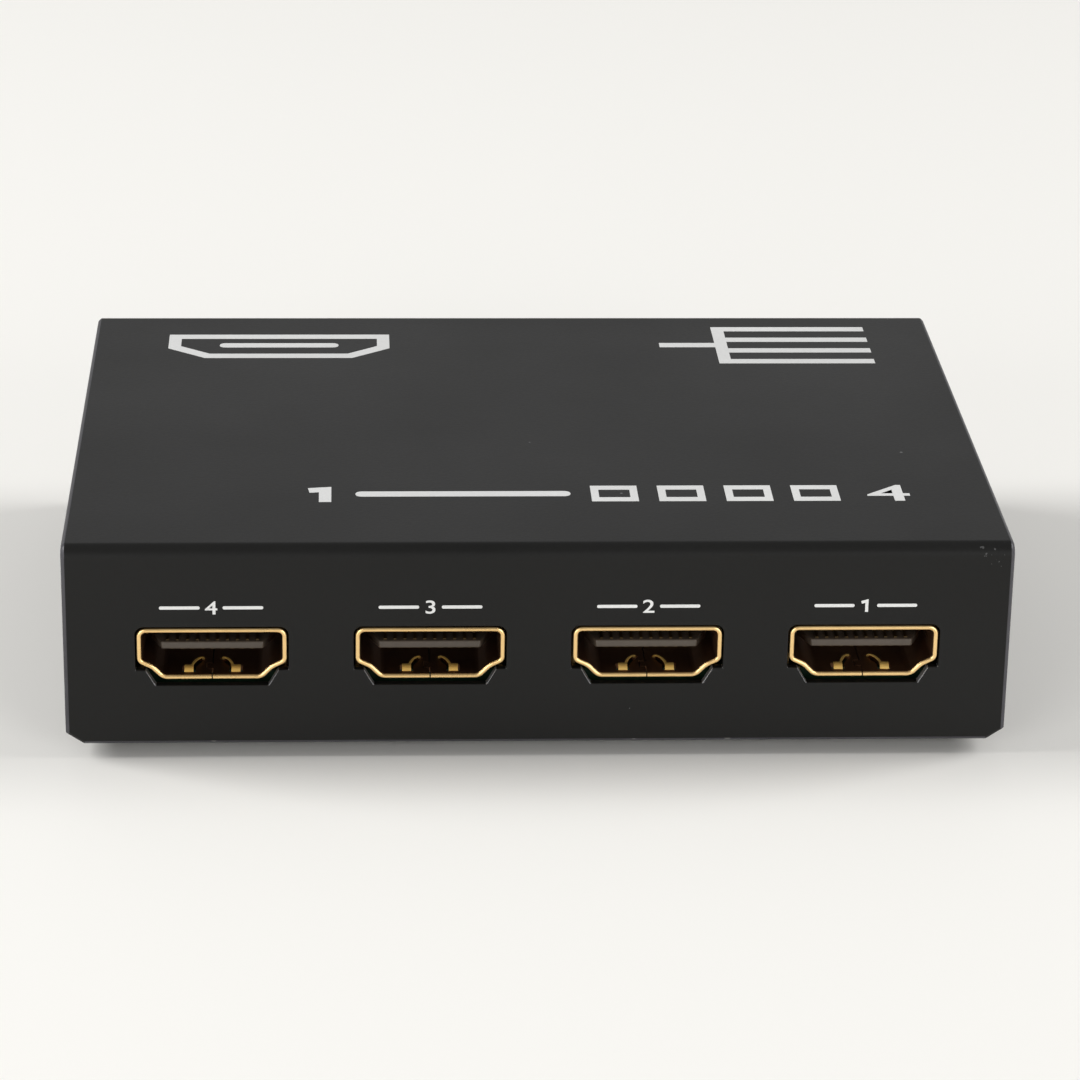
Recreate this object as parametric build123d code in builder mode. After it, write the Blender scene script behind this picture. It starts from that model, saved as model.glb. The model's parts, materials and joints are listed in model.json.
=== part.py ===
from build123d import *
import os

os.makedirs("parts", exist_ok=True)

# A small sheet-metal video splitter: four output sockets in the front, and the input socket,
# the power jack and the power light in the rear. Millimetres, +Z up, front towards -Y.
# The origin is on the surface that the feet stand on, in the middle of the box.

# Case
panel_end = 14.8  # from the middle of an outer socket to the end of the case
socket_pitch = 21.8
output_count = 4
case_depth = 70.0
case_height = 21.5
cover_sheet = 1.0
cover_bend = 1.4  # outer radius
corner_clip_width = 1.8
corner_clip_height = 1.2
rim_edge = 0.35
tray_sheet = 1.0
tray_bend = 1.8  # outer radius
tray_gap = 0.15  # between the cover and the tray
overrun = 2.0  # how far a cut runs past the wall that it opens

# Folded ears at the ends of the tray's side walls
ear_height = 12.0
ear_clear_of_socket = 1.3
ear_bend = 1.4
ear_relief = 1.0

# Side vents
vent_count = 6
vent_pitch = 5.6
vent_width = 1.8
vent_height = 8.0

# Feet
foot_side = 8.0
foot_height = 1.5
foot_inset = 10.0
foot_edge = 0.4

# Screws
screw_head_diameter = 5.6
screw_head_height = 1.7
screw_shank = 2.9
screw_recess_length = 3.0
screw_recess_width = 0.6
screw_recess_depth = 0.9
cover_screw_length = 5.0
board_screw_head_diameter = 5.0
board_screw_head_height = 1.2
board_screw_length = 5.4
screw_hole_gap = 0.15  # round the shank, in the wall that it passes through
screw_thread_gap = 0.05  # round the shank, in the wall that holds it

# Board and what carries it
board_thickness = 1.6
board_edge_gap = 1.6
board_side_gap = 1.5
standoff_diameter = 6.0
standoff_height = 4.45
standoff_side_inset = 3.7
standoff_behind_socket = 6.0
standoff_rear_inset = 5.0

# Shell of a video socket, wide side up
socket_width = 15.0
socket_height = 5.55
socket_length = 12.0
socket_wall = 0.5
socket_side_drop = 3.75
socket_shoulder_drop = 0.67
socket_waist_width = 12.2
socket_foot_width = 10.0
socket_corner = 0.9
socket_shoulder_round = 0.8
socket_foot_round = 0.8
socket_seat = 0.1  # air between the shell and the board
leg_width = 1.3
leg_lap = 1.0
leg_tail = 0.7
leg_first = 4.6
leg_spacing = 4.9
leg_slot_gap = 0.12

# Seam along the bottom of the shell, with one dovetail
seam_width = 0.1
dovetail_start = 1.6
dovetail_length = 1.35
dovetail_reach = 0.6
dovetail_flare = 0.1

# Spring fingers in the bottom of the shell
finger_offset = 2.35
finger_width = 1.05
finger_sheet = 0.2
finger_tip = 0.9
finger_crest = 1.5
finger_crest_length = 0.65
finger_lift = 0.32
finger_window_gap = 0.15
arm_root_offset = 1.15
arm_root = 4.2
arm_width = 0.35

# Moulded insulator of a video socket
insulator_gap = 0.15
block_rear_inset = 0.6
block_length = 2.8
tongue_front = 1.8
tongue_level = 2.05  # underside, above the inside of the shell's bottom
tongue_thickness = 0.8
tongue_tip_width = 10.2
tongue_width = 12.4
tongue_taper = 2.6

# Contact strips
contact_pitch = 1.0
contact_width = 0.3
contact_sheet = 0.12
contact_tip_inset = 0.35
contact_slit_gap = 0.05
contact_drop_gap = 0.3
contact_notch_gap = 0.2
top_row_count = 10
bottom_row_count = 9

# Cut-out for a video socket, cut wider than the shell below its shoulders
cutout_top_gap = 0.12
cutout_side_gap = 0.15
cutout_shoulder_gap = 0.8
cutout_waist_gap = 0.5
cutout_foot_gap = 0.65
cutout_bottom_gap = 0.65
cutout_corner = 0.9

# Power jack
jack_width = 9.0
jack_height = 10.6
jack_length = 13.0
jack_edge_round = 0.8
jack_centre_height = 6.2
jack_collar_diameter = 7.8
jack_hole_gap = 0.2
jack_panel_gap = 0.15
jack_bore_diameter = 6.2
jack_bore_depth = 10.0
jack_pin_diameter = 2.0
jack_pin_recess = 1.2
jack_pin_gap = 0.05
jack_blade_width = 2.4
jack_blade_sheet = 0.5
jack_blade_tail = 1.2
jack_channel_front = 3.0
jack_channel_length = 5.5
jack_spring_sheet = 0.3
jack_spring_rise = 0.6
jack_spring_gap = 0.1
jack_ear_gap = 5.0

# Power light
light_diameter = 3.0
light_flange_diameter = 3.8
light_flange_length = 0.9
light_barrel_length = 4.3
light_tip_edge = 0.6
light_hole_gap = 0.1
light_proud = 0.4
light_height = 6.2
light_to_jack = 6.5
light_lead_sheet = 0.5
light_lead_pitch = 2.54
light_lead_reach = 2.5
light_lead_tail = 1.2
light_lead_hole_gap = 0.1

# Splitter chip, its pad and heat sink; places are shares of the board's width and depth
chip_side = 10.0
chip_height = 0.9
chip_corner = 0.6
chip_place_shares = (0.0, -0.08)
pad_inset = 0.3
pad_thickness = 0.6
sink_side = 20.0
sink_base = 2.0
sink_height = 8.0
sink_fin_count = 7
sink_fin = 0.9

# Smaller parts on the board
crystal_length = 11.0
crystal_width = 4.6
crystal_height = 3.4
crystal_place_shares = (-0.24, -0.06)
inductor_side = 7.0
inductor_height = 3.6
inductor_corner = 1.4
inductor_place_shares = (0.25, 0.02)
regulator_length = 6.5
regulator_width = 3.5
regulator_height = 1.7
regulator_tab_width = 3.0
regulator_lead_width = 0.7
regulator_lead_pitch = 2.3
regulator_lead_sheet = 0.25
regulator_lead_reach = 1.7
regulator_lead_count = 3
regulator_place_shares = (0.38, -0.1)
memory_length = 4.9
memory_width = 3.9
memory_height = 1.5
memory_lead_count = 4
memory_lead_pitch = 1.27
memory_lead_width = 0.4
memory_lead_sheet = 0.2
memory_lead_reach = 1.0
memory_place_shares = (-0.26, 0.18)
chip_body_seat = 0.1  # air under a leaded chip
lead_knee_share = 0.4  # of a lead's reach, where it turns down
can_diameter = 6.3
can_height = 5.4
can_base_side = 6.6
can_base_height = 1.0
can_base_clip = 1.2
can_place_shares = [(0.38, 0.12), (0.17, 0.2)]
fuse_length = 4.6
fuse_width = 3.2
fuse_height = 1.2
fuse_place_shares = (0.29, 0.22)
surge_length = 2.5
surge_width = 1.2
surge_height = 0.6
surge_spacing = 5.0
surge_behind_socket = 3.0
small_capacitor = (2.0, 1.25, 0.9)
small_capacitor_rows = 5
small_capacitor_pitch = 2.9
small_capacitor_gap = 2.0
small_resistor = (0.85, 1.6, 0.45)
small_resistor_count = 8
small_resistor_pitch = 2.2
small_resistor_gap = 2.4

# Worked out from the sizes above
case_width = (output_count - 1) * socket_pitch + 2 * panel_end
overall_depth = case_depth + screw_head_height
front_y = -overall_depth / 2
rear_y = front_y + case_depth
middle_y = (front_y + rear_y) / 2
case_bottom = foot_height
case_top = case_bottom + case_height
tray_front = front_y + cover_sheet + tray_gap
tray_rear = rear_y - cover_sheet - tray_gap
tray_top = case_top - cover_sheet - tray_gap
floor_top = case_bottom + tray_sheet
ear_reach = panel_end - socket_width / 2 - ear_clear_of_socket
ear_middle = (case_bottom + case_top) / 2
board_bottom = floor_top + standoff_height
board_top = board_bottom + board_thickness
board_width = case_width - 2 * (tray_sheet + board_side_gap)
board_depth = case_depth - 2 * (cover_sheet + board_edge_gap)
socket_bottom = board_top + socket_seat
block_front = socket_length - block_rear_inset - block_length
contact_drop = block_front + block_length + contact_drop_gap
standoff_x = board_width / 2 - standoff_side_inset
standoff_front = front_y + socket_length + standoff_behind_socket
standoff_rear = middle_y + board_depth / 2 - standoff_rear_inset
cover_screw_x = case_width / 2 - (tray_sheet + ear_reach) / 2
jack_x = case_width / 2 - ear_reach - jack_ear_gap - jack_width / 2
light_x = jack_x - jack_width / 2 - light_to_jack


def front_plane(across, height):
    """Plane on the outside of the front panel, facing the user."""
    return Plane((across, front_y, height), x_dir=(1, 0, 0), z_dir=(0, -1, 0))


def rear_plane(across, height):
    """Plane on the outside of the rear panel, facing away behind the case."""
    return Plane((across, rear_y, height), x_dir=(-1, 0, 0), z_dir=(0, 1, 0))


def level_plane(mouth, height):
    """Level plane at a height over a mouth's origin; its local Y runs into the case."""
    return Plane(mouth.origin + Vector(0, 0, height), x_dir=mouth.x_dir, z_dir=(0, 0, 1))


def side_plane(mouth, across):
    """Upright plane beside a mouth's middle; local X runs into the case and local Y up."""
    return Plane(mouth.origin + mouth.x_dir * across, x_dir=-mouth.z_dir, z_dir=mouth.x_dir)


def board_plane(place_shares):
    """Plane on the board's top, at shares of its width and depth from its middle."""
    across_share, along_share = place_shares
    return Plane((across_share * board_width, middle_y + along_share * board_depth, board_top))


def save(builder, name):
    """Label a finished piece and write it."""
    builder.part.label = name
    export_step(builder.part, f"parts/{name}.step")


def border(faces):
    """The edges that only one of these faces holds."""
    edges = [edge for face in faces for edge in face.edges()]
    return ShapeList(edge for edge in edges if sum(edge.is_same(other) for other in edges) == 1)


def spread(count, pitch):
    """Places of a centred row."""
    return [(step - (count - 1) / 2) * pitch for step in range(count)]


# Outline of a video socket's shell, standing on the sketch's origin
shell_shoulder = socket_height - socket_side_drop
shell_waist = (socket_waist_width / 2, shell_shoulder - socket_shoulder_drop)
upper_points = [
    (0, socket_height),
    (socket_width / 2, socket_height),
    (socket_width / 2, shell_shoulder),
    shell_waist,
]
lower_points = [shell_waist, (socket_foot_width / 2, 0), (0, 0)]
with BuildSketch() as socket_outline:
    with BuildLine():
        FilletPolyline(*upper_points, radius=[socket_corner, socket_shoulder_round])
        FilletPolyline(*lower_points, radius=socket_foot_round)
        mirror(about=Plane.YZ)
    make_face()
with BuildSketch() as socket_polygon:
    with BuildLine():
        Polyline(*upper_points, *lower_points[1:])
        mirror(about=Plane.YZ)
    make_face()

# Outline of the hole that a shell fills: close round the top, loose below the shoulders
cutout_side = socket_width / 2 + cutout_side_gap
cutout_shoulder = shell_shoulder - cutout_shoulder_gap
with BuildSketch() as socket_cutout:
    with BuildLine():
        FilletPolyline(
            (0, socket_height + cutout_top_gap),
            (cutout_side, socket_height + cutout_top_gap),
            (cutout_side, cutout_shoulder),
            radius=cutout_corner,
        )
        Polyline(
            (cutout_side, cutout_shoulder),
            (socket_waist_width / 2 + cutout_waist_gap, cutout_shoulder),
            (socket_foot_width / 2 + cutout_foot_gap, -cutout_bottom_gap),
            (0, -cutout_bottom_gap),
        )
        mirror(about=Plane.YZ)
    make_face()

output_mouths = {
    f"output_{number}": front_plane(
        ((output_count + 1) / 2 - number) * socket_pitch, socket_bottom
    )
    for number in range(1, output_count + 1)
}
input_mouth = rear_plane(0, socket_bottom)
mouths = {**output_mouths, "input": input_mouth}
jack_axis_plane = rear_plane(jack_x, board_top + jack_centre_height)
light_axis_plane = rear_plane(light_x, board_top + light_height)
cover_screw_planes = [rear_plane(side * cover_screw_x, ear_middle) for side in (-1, 1)]
standoff_places = [
    (side * standoff_x, along) for side in (-1, 1) for along in (standoff_front, standoff_rear)
]


# Top cover: front, top and rear folded from one sheet
with BuildPart() as top_cover:
    with BuildSketch(Plane.YZ):
        with BuildLine():
            FilletPolyline(
                (front_y, case_bottom),
                (front_y, case_top),
                (rear_y, case_top),
                (rear_y, case_bottom),
                radius=cover_bend,
            )
            offset(amount=cover_sheet, side=Side.RIGHT)
        make_face()
    extrude(amount=case_width / 2, both=True)
    # The lower corners of the front and the rear are clipped
    with BuildSketch(Plane.XZ):
        with BuildLine():
            Polyline(
                (0, case_top + overrun),
                (case_width / 2, case_top + overrun),
                (case_width / 2, case_bottom + corner_clip_height),
                (case_width / 2 - corner_clip_width, case_bottom),
                (0, case_bottom),
            )
            mirror(about=Plane.YZ)
        make_face()
    extrude(amount=overall_depth, both=True, mode=Mode.INTERSECT)
    # The whole outer rim is broken
    outer_skin = (
        top_cover.faces().filter_by(Axis.Z).sort_by(Axis.Z)[-1:]
        + top_cover.faces().filter_by(Axis.Y).sort_by(Axis.Y)[:1]
        + top_cover.faces().filter_by(Axis.Y).sort_by(Axis.Y)[-1:]
        + top_cover.faces().filter_by(GeomType.CYLINDER).sort_by(SortBy.AREA)[-2:]
    )
    chamfer(border(outer_skin), length=rim_edge)
    with BuildSketch(*mouths.values()):
        add(socket_cutout.sketch)
    extrude(amount=-cover_sheet - overrun, mode=Mode.SUBTRACT)
    with BuildSketch(jack_axis_plane):
        Circle(jack_collar_diameter / 2 + jack_hole_gap)
    extrude(amount=-cover_sheet - overrun, mode=Mode.SUBTRACT)
    with BuildSketch(light_axis_plane):
        Circle(light_diameter / 2 + light_hole_gap)
    extrude(amount=-cover_sheet - overrun, mode=Mode.SUBTRACT)
    with BuildSketch(*cover_screw_planes):
        Circle(screw_shank / 2 + screw_hole_gap)
    extrude(amount=-cover_sheet - overrun, mode=Mode.SUBTRACT)
save(top_cover, "top_cover")


# Bottom tray: floor and side walls folded from one sheet, with ears at the four corners
tray_depth = tray_rear - tray_front
ear_bottom = ear_middle - ear_height / 2
relief_depth = tray_sheet + ear_bend
with BuildPart() as bottom_tray:
    with BuildSketch(Plane.XZ.offset(-tray_front)):
        with BuildLine():
            FilletPolyline(
                (-case_width / 2, tray_top),
                (-case_width / 2, case_bottom),
                (case_width / 2, case_bottom),
                (case_width / 2, tray_top),
                radius=tray_bend,
            )
            offset(amount=tray_sheet, side=Side.LEFT)
        make_face()
    extrude(amount=-tray_depth)
    with BuildSketch(Plane.XY.offset(ear_bottom)):
        for along in (tray_front + tray_sheet / 2, tray_rear - tray_sheet / 2):
            for side in (-1, 1):
                with Locations((side * (case_width - ear_reach) / 2, along)):
                    Rectangle(ear_reach, tray_sheet)
    extrude(amount=ear_height)
    # Relief slots free each ear's bend from the wall above and below it
    with BuildSketch(Plane.YZ):
        for along in (tray_front, tray_rear):
            for height in (ear_bottom - ear_relief / 2, ear_bottom + ear_height + ear_relief / 2):
                with Locations((along, height)):
                    Rectangle(2 * relief_depth, ear_relief)
    extrude(amount=case_width, both=True, mode=Mode.SUBTRACT)
    upright_edges = bottom_tray.edges().filter_by(Axis.Z)
    ear_corners = upright_edges.filter_by_position(Axis.Z, ear_bottom, ear_bottom + ear_height)
    ear_corners = ear_corners.group_by(lambda edge: round(abs(edge.center().X), 3))
    fillet(ear_corners[-1], radius=ear_bend)
    # The upper corners of the side walls clear the inside of the cover's bends
    wall_corners = bottom_tray.edges().filter_by(Axis.X).group_by(Axis.Z)[-1]
    chamfer(wall_corners, length=cover_bend - cover_sheet + tray_gap)
    with BuildSketch(Plane.YZ):
        with Locations((middle_y, ear_middle)):
            with GridLocations(vent_pitch, 0, vent_count, 1):
                Rectangle(vent_width, vent_height)
    extrude(amount=case_width, both=True, mode=Mode.SUBTRACT)
    with BuildSketch(*cover_screw_planes):
        Circle(screw_shank / 2 + screw_thread_gap)
    extrude(amount=-cover_screw_length - overrun, mode=Mode.SUBTRACT)
save(bottom_tray, "bottom_tray")


# Feet
with BuildPart() as rubber_feet:
    with BuildSketch(Plane.XY.offset(foot_height)):
        with Locations((0, middle_y)):
            with GridLocations(case_width - 2 * foot_inset, case_depth - 2 * foot_inset, 2, 2):
                Rectangle(foot_side, foot_side)
    extrude(amount=-foot_height)
    chamfer(rubber_feet.edges().group_by(Axis.Z)[0], length=foot_edge)
save(rubber_feet, "rubber_feet")


# Pan head screws through the rear panel, with a cross recess
with BuildPart() as cover_screws:
    with BuildSketch(*cover_screw_planes):
        Circle(screw_head_diameter / 2)
    extrude(amount=screw_head_height)
    with BuildSketch(*cover_screw_planes):
        Circle(screw_shank / 2)
    extrude(amount=-cover_screw_length)
    with BuildSketch(*[plane.offset(screw_head_height) for plane in cover_screw_planes]):
        Rectangle(screw_recess_length, screw_recess_width)
        Rectangle(screw_recess_width, screw_recess_length)
    extrude(amount=-screw_recess_depth, mode=Mode.SUBTRACT)
save(cover_screws, "cover_screws")


# Screws that hold the board on its standoffs
with BuildPart() as board_screws:
    with BuildSketch(Plane.XY.offset(board_top)):
        with Locations(*standoff_places):
            Circle(board_screw_head_diameter / 2)
    extrude(amount=board_screw_head_height)
    with BuildSketch(Plane.XY.offset(board_top)):
        with Locations(*standoff_places):
            Circle(screw_shank / 2)
    extrude(amount=-board_screw_length)
save(board_screws, "board_screws")


# Standoffs, pressed into the tray's floor
with BuildPart() as board_standoffs:
    with BuildSketch(Plane.XY.offset(floor_top)):
        with Locations(*standoff_places):
            RegularPolygon(standoff_diameter / 2, 6)
            Circle(screw_shank / 2 + screw_thread_gap, mode=Mode.SUBTRACT)
    extrude(amount=standoff_height)
save(board_standoffs, "board_standoffs")


# Circuit board, with a slot for each shell leg and a hole for each lead
leg_x = (socket_width - socket_wall) / 2
leg_depths = [leg_first, leg_first + leg_spacing]
jack_front = cover_sheet + jack_panel_gap
jack_spring_blade = jack_channel_front + jack_channel_length
jack_pin_blade = jack_front + jack_length + jack_blade_sheet / 2
light_flange_back = light_barrel_length - light_proud + light_flange_length
light_lead_depth = light_flange_back + light_lead_reach
light_lead_hole = light_lead_sheet + 2 * light_lead_hole_gap
with BuildPart() as circuit_board:
    with BuildSketch(Plane.XY.offset(board_bottom)):
        with Locations((0, middle_y)):
            Rectangle(board_width, board_depth)
        with Locations(*standoff_places):
            Circle(screw_shank / 2 + screw_hole_gap, mode=Mode.SUBTRACT)
    extrude(amount=board_thickness)
    with BuildSketch(*[level_plane(mouth, -socket_seat) for mouth in mouths.values()]):
        with Locations(*[(side * leg_x, depth) for side in (-1, 1) for depth in leg_depths]):
            Rectangle(socket_wall + 2 * leg_slot_gap, leg_width + 2 * leg_slot_gap)
    extrude(amount=-board_thickness - overrun, mode=Mode.SUBTRACT)
    with BuildSketch(level_plane(jack_axis_plane, -jack_centre_height)):
        for depth in (jack_spring_blade, jack_pin_blade):
            with Locations((0, depth)):
                Rectangle(jack_blade_width + 2 * leg_slot_gap, jack_blade_sheet + 2 * leg_slot_gap)
    extrude(amount=-board_thickness - overrun, mode=Mode.SUBTRACT)
    with BuildSketch(level_plane(light_axis_plane, -light_height)):
        with Locations(*[(side * light_lead_pitch / 2, light_lead_depth) for side in (-1, 1)]):
            Rectangle(light_lead_hole, light_lead_hole)
    extrude(amount=-board_thickness - overrun, mode=Mode.SUBTRACT)
save(circuit_board, "circuit_board")


def socket_shell(mouth):
    """Shell folded from thin sheet, with its seam, spring fingers and board legs."""
    with BuildPart() as shell:
        with BuildSketch(mouth):
            add(socket_outline.sketch)
            offset(
                socket_polygon.sketch,
                amount=-socket_wall,
                kind=Kind.INTERSECTION,
                mode=Mode.SUBTRACT,
            )
        extrude(amount=-socket_length)
        # Windows under the spring fingers
        with BuildSketch(level_plane(mouth, 0)):
            window_length = finger_crest + finger_crest_length - finger_tip + 2 * finger_window_gap
            window_middle = (finger_crest + finger_crest_length + finger_tip) / 2
            with Locations(*[(side * finger_offset, window_middle) for side in (-1, 1)]):
                Rectangle(finger_width + 2 * finger_window_gap, window_length)
        extrude(amount=socket_wall, mode=Mode.SUBTRACT)
        # Open bottom under the moulded block, where the contacts come down
        notch_width = (top_row_count - 1) * contact_pitch + contact_width + 2 * contact_notch_gap
        with BuildSketch(level_plane(mouth, 0)):
            with Locations((0, (block_front + socket_length + overrun) / 2)):
                Rectangle(notch_width, socket_length + overrun - block_front)
        extrude(amount=socket_wall, mode=Mode.SUBTRACT)
        # Seam with one dovetail
        with BuildSketch(level_plane(mouth, 0)):
            with BuildLine():
                Polyline(
                    (0, -overrun),
                    (0, dovetail_start + dovetail_flare),
                    (-dovetail_reach, dovetail_start),
                    (-dovetail_reach, dovetail_start + dovetail_length),
                    (0, dovetail_start + dovetail_length - dovetail_flare),
                    (0, block_front),
                )
            trace(line_width=seam_width)
        extrude(amount=socket_wall, mode=Mode.SUBTRACT)
        # Fingers: a sprung tip over each window, on an arm that slants in to its root
        crest_height = socket_wall + finger_lift + finger_sheet / 2
        with BuildSketch(*[side_plane(mouth, side * finger_offset) for side in (-1, 1)]):
            with BuildLine():
                Polyline(
                    (finger_tip, socket_wall - finger_sheet),
                    (finger_crest, crest_height),
                    (finger_crest + finger_crest_length, crest_height),
                )
            trace(line_width=finger_sheet)
        extrude(amount=finger_width / 2, both=True)
        with BuildSketch(level_plane(mouth, socket_wall + finger_lift)):
            with BuildLine():
                Polyline(
                    (finger_offset, finger_crest + finger_crest_length / 2),
                    (arm_root_offset, arm_root),
                )
            trace(line_width=arm_width)
            mirror(about=Plane.YZ)
        extrude(amount=finger_sheet)
        with BuildSketch(level_plane(mouth, socket_wall)):
            with Locations(*[(side * arm_root_offset, arm_root) for side in (-1, 1)]):
                Rectangle(arm_width, arm_width)
        extrude(amount=finger_lift + finger_sheet)
        # Legs through the board
        leg_top = socket_height - socket_side_drop + leg_lap
        with BuildSketch(level_plane(mouth, leg_top)):
            with Locations(*[(side * leg_x, depth) for side in (-1, 1) for depth in leg_depths]):
                Rectangle(socket_wall, leg_width)
        extrude(amount=-(leg_top + socket_seat + board_thickness + leg_tail))
    return shell


tongue_bottom = socket_wall + tongue_level
tongue_top = tongue_bottom + tongue_thickness


def socket_insulator(mouth):
    """Moulded block that fills the back of the shell, with the tongue that bears the contacts."""
    with BuildPart() as insulator:
        with BuildSketch(mouth.offset(-block_front)):
            add(socket_polygon.sketch)
            offset(
                amount=-socket_wall - insulator_gap,
                kind=Kind.INTERSECTION,
                mode=Mode.REPLACE,
            )
        extrude(amount=-block_length)
        # Slits for the two rows of contacts
        slit_height = contact_sheet + contact_slit_gap
        with BuildSketch(mouth.offset(-block_front)):
            for height in (tongue_top + slit_height / 2, tongue_bottom - slit_height / 2):
                with Locations((0, height)):
                    Rectangle(tongue_tip_width, slit_height)
        extrude(amount=-block_length, mode=Mode.SUBTRACT)
        with BuildSketch(level_plane(mouth, tongue_bottom)):
            with BuildLine():
                Polyline(
                    (0, tongue_front),
                    (tongue_tip_width / 2, tongue_front),
                    (tongue_width / 2, tongue_front + tongue_taper),
                    (tongue_width / 2, block_front),
                    (0, block_front),
                )
                mirror(about=Plane.YZ)
            make_face()
        extrude(amount=tongue_thickness)
    return insulator


def socket_contacts(mouth):
    """Two rows of bent strips, half a pitch apart: along the tongue and down behind the block."""
    rows = {
        top_row_count: tongue_top + contact_sheet / 2,
        bottom_row_count: tongue_bottom - contact_sheet / 2,
    }
    with BuildPart() as contacts:
        for count, height in rows.items():
            with BuildSketch(*[side_plane(mouth, across) for across in spread(count, contact_pitch)]):
                with BuildLine():
                    Polyline(
                        (tongue_front + contact_tip_inset, height),
                        (contact_drop, height),
                        (contact_drop, -socket_seat),
                    )
                trace(line_width=contact_sheet)
            extrude(amount=contact_width / 2, both=True)
    return contacts


# Video sockets
for socket_name, socket_mouth in mouths.items():
    save(socket_shell(socket_mouth), f"{socket_name}_shell")
    save(socket_insulator(socket_mouth), f"{socket_name}_insulator")
    save(socket_contacts(socket_mouth), f"{socket_name}_contacts")


# Power jack: its collar fills the hole in the rear panel, and a channel under the bore holds the spring
jack_back = jack_axis_plane.offset(-jack_front)
jack_bore_radius = jack_bore_diameter / 2
with BuildPart() as power_jack_housing:
    with BuildSketch(jack_back) as jack_end:
        with Locations((0, jack_height / 2 - jack_centre_height)):
            Rectangle(jack_width, jack_height)
        fillet(jack_end.vertices().group_by(Axis.Y)[-1], radius=jack_edge_round)
    extrude(amount=-jack_length)
    with BuildSketch(jack_back):
        Circle(jack_collar_diameter / 2)
    extrude(amount=jack_front)
    with BuildSketch(jack_axis_plane):
        Circle(jack_bore_radius)
    extrude(amount=-jack_bore_depth, mode=Mode.SUBTRACT)
    with BuildSketch(jack_axis_plane):
        Circle(jack_pin_diameter / 2 + jack_pin_gap)
    extrude(amount=-jack_front - jack_length, mode=Mode.SUBTRACT)
    with BuildSketch(level_plane(jack_axis_plane, -jack_centre_height)):
        channel_back = jack_spring_blade + jack_spring_sheet / 2 + jack_spring_gap
        with Locations((0, (jack_channel_front + channel_back) / 2)):
            Rectangle(jack_blade_width + 2 * jack_spring_gap, channel_back - jack_channel_front)
    extrude(amount=jack_centre_height, mode=Mode.SUBTRACT)
save(power_jack_housing, "power_jack_housing")

blade_drop = jack_centre_height + board_thickness + jack_blade_tail
with BuildPart() as power_jack_pin:
    with BuildSketch(jack_axis_plane.offset(-jack_pin_recess)):
        Circle(jack_pin_diameter / 2)
    extrude(amount=-(jack_front + jack_length - jack_pin_recess))
    with BuildSketch(jack_back.offset(-jack_length)):
        with Locations((0, (jack_pin_diameter - blade_drop) / 2)):
            Rectangle(jack_blade_width, jack_pin_diameter + blade_drop)
    extrude(amount=-jack_blade_sheet)
save(power_jack_pin, "power_jack_pin")

with BuildPart() as power_jack_spring:
    with BuildSketch(side_plane(jack_axis_plane, 0)):
        with BuildLine():
            Polyline(
                (jack_spring_blade, -blade_drop),
                (jack_spring_blade, -jack_bore_radius - jack_spring_sheet),
                (jack_channel_front + jack_channel_length / 2, jack_spring_rise - jack_bore_radius),
                (jack_channel_front + jack_spring_sheet, -jack_bore_radius - jack_spring_sheet),
            )
        trace(line_width=jack_spring_sheet)
    extrude(amount=jack_blade_width / 2, both=True)
save(power_jack_spring, "power_jack_spring")


# Power light: a round lamp whose tip shows in the rear panel, on two bent leads
with BuildPart() as power_light_lens:
    with BuildSketch(light_axis_plane.offset(light_proud)):
        Circle(light_diameter / 2)
    extrude(amount=-light_barrel_length)
    chamfer(power_light_lens.edges().group_by(Axis.Y)[-1], length=light_tip_edge)
    with BuildSketch(light_axis_plane.offset(-light_flange_back)):
        Circle(light_flange_diameter / 2)
    extrude(amount=light_flange_length)
save(power_light_lens, "power_light_lens")

with BuildPart() as power_light_leads:
    light_lead_planes = [
        side_plane(light_axis_plane, side * light_lead_pitch / 2) for side in (-1, 1)
    ]
    with BuildSketch(*light_lead_planes):
        with BuildLine():
            Polyline(
                (light_flange_back, 0),
                (light_lead_depth, 0),
                (light_lead_depth, -light_height - board_thickness - light_lead_tail),
            )
        trace(line_width=light_lead_sheet)
    extrude(amount=light_lead_sheet / 2, both=True)
save(power_light_leads, "power_light_leads")


# Splitter chip with its pad and heat sink
chip_plane = board_plane(chip_place_shares)
with BuildPart() as splitter_chip:
    with BuildSketch(chip_plane) as chip_section:
        Rectangle(chip_side, chip_side)
        chamfer(chip_section.vertices(), length=chip_corner)
    extrude(amount=chip_height)
save(splitter_chip, "splitter_chip")

with BuildPart() as thermal_pad:
    with BuildSketch(chip_plane.offset(chip_height)):
        Rectangle(chip_side - 2 * pad_inset, chip_side - 2 * pad_inset)
    extrude(amount=pad_thickness)
save(thermal_pad, "thermal_pad")

sink_plane = chip_plane.offset(chip_height + pad_thickness)
with BuildPart() as heat_sink:
    with BuildSketch(sink_plane):
        Rectangle(sink_side, sink_side)
    extrude(amount=sink_base)
    with BuildSketch(sink_plane.offset(sink_base)):
        with GridLocations((sink_side - sink_fin) / (sink_fin_count - 1), 0, sink_fin_count, 1):
            Rectangle(sink_fin, sink_side)
    extrude(amount=sink_height - sink_base)
save(heat_sink, "heat_sink")


# Clock crystal in a low metal can
with BuildPart() as clock_crystal:
    with BuildSketch(board_plane(crystal_place_shares)):
        SlotOverall(crystal_length, crystal_width)
    extrude(amount=crystal_height)
save(clock_crystal, "clock_crystal")


# Shielded power inductor
with BuildPart() as power_inductor:
    with BuildSketch(board_plane(inductor_place_shares)) as inductor_section:
        Rectangle(inductor_side, inductor_side)
        chamfer(inductor_section.vertices(), length=inductor_corner)
    extrude(amount=inductor_height)
save(power_inductor, "power_inductor")


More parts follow.
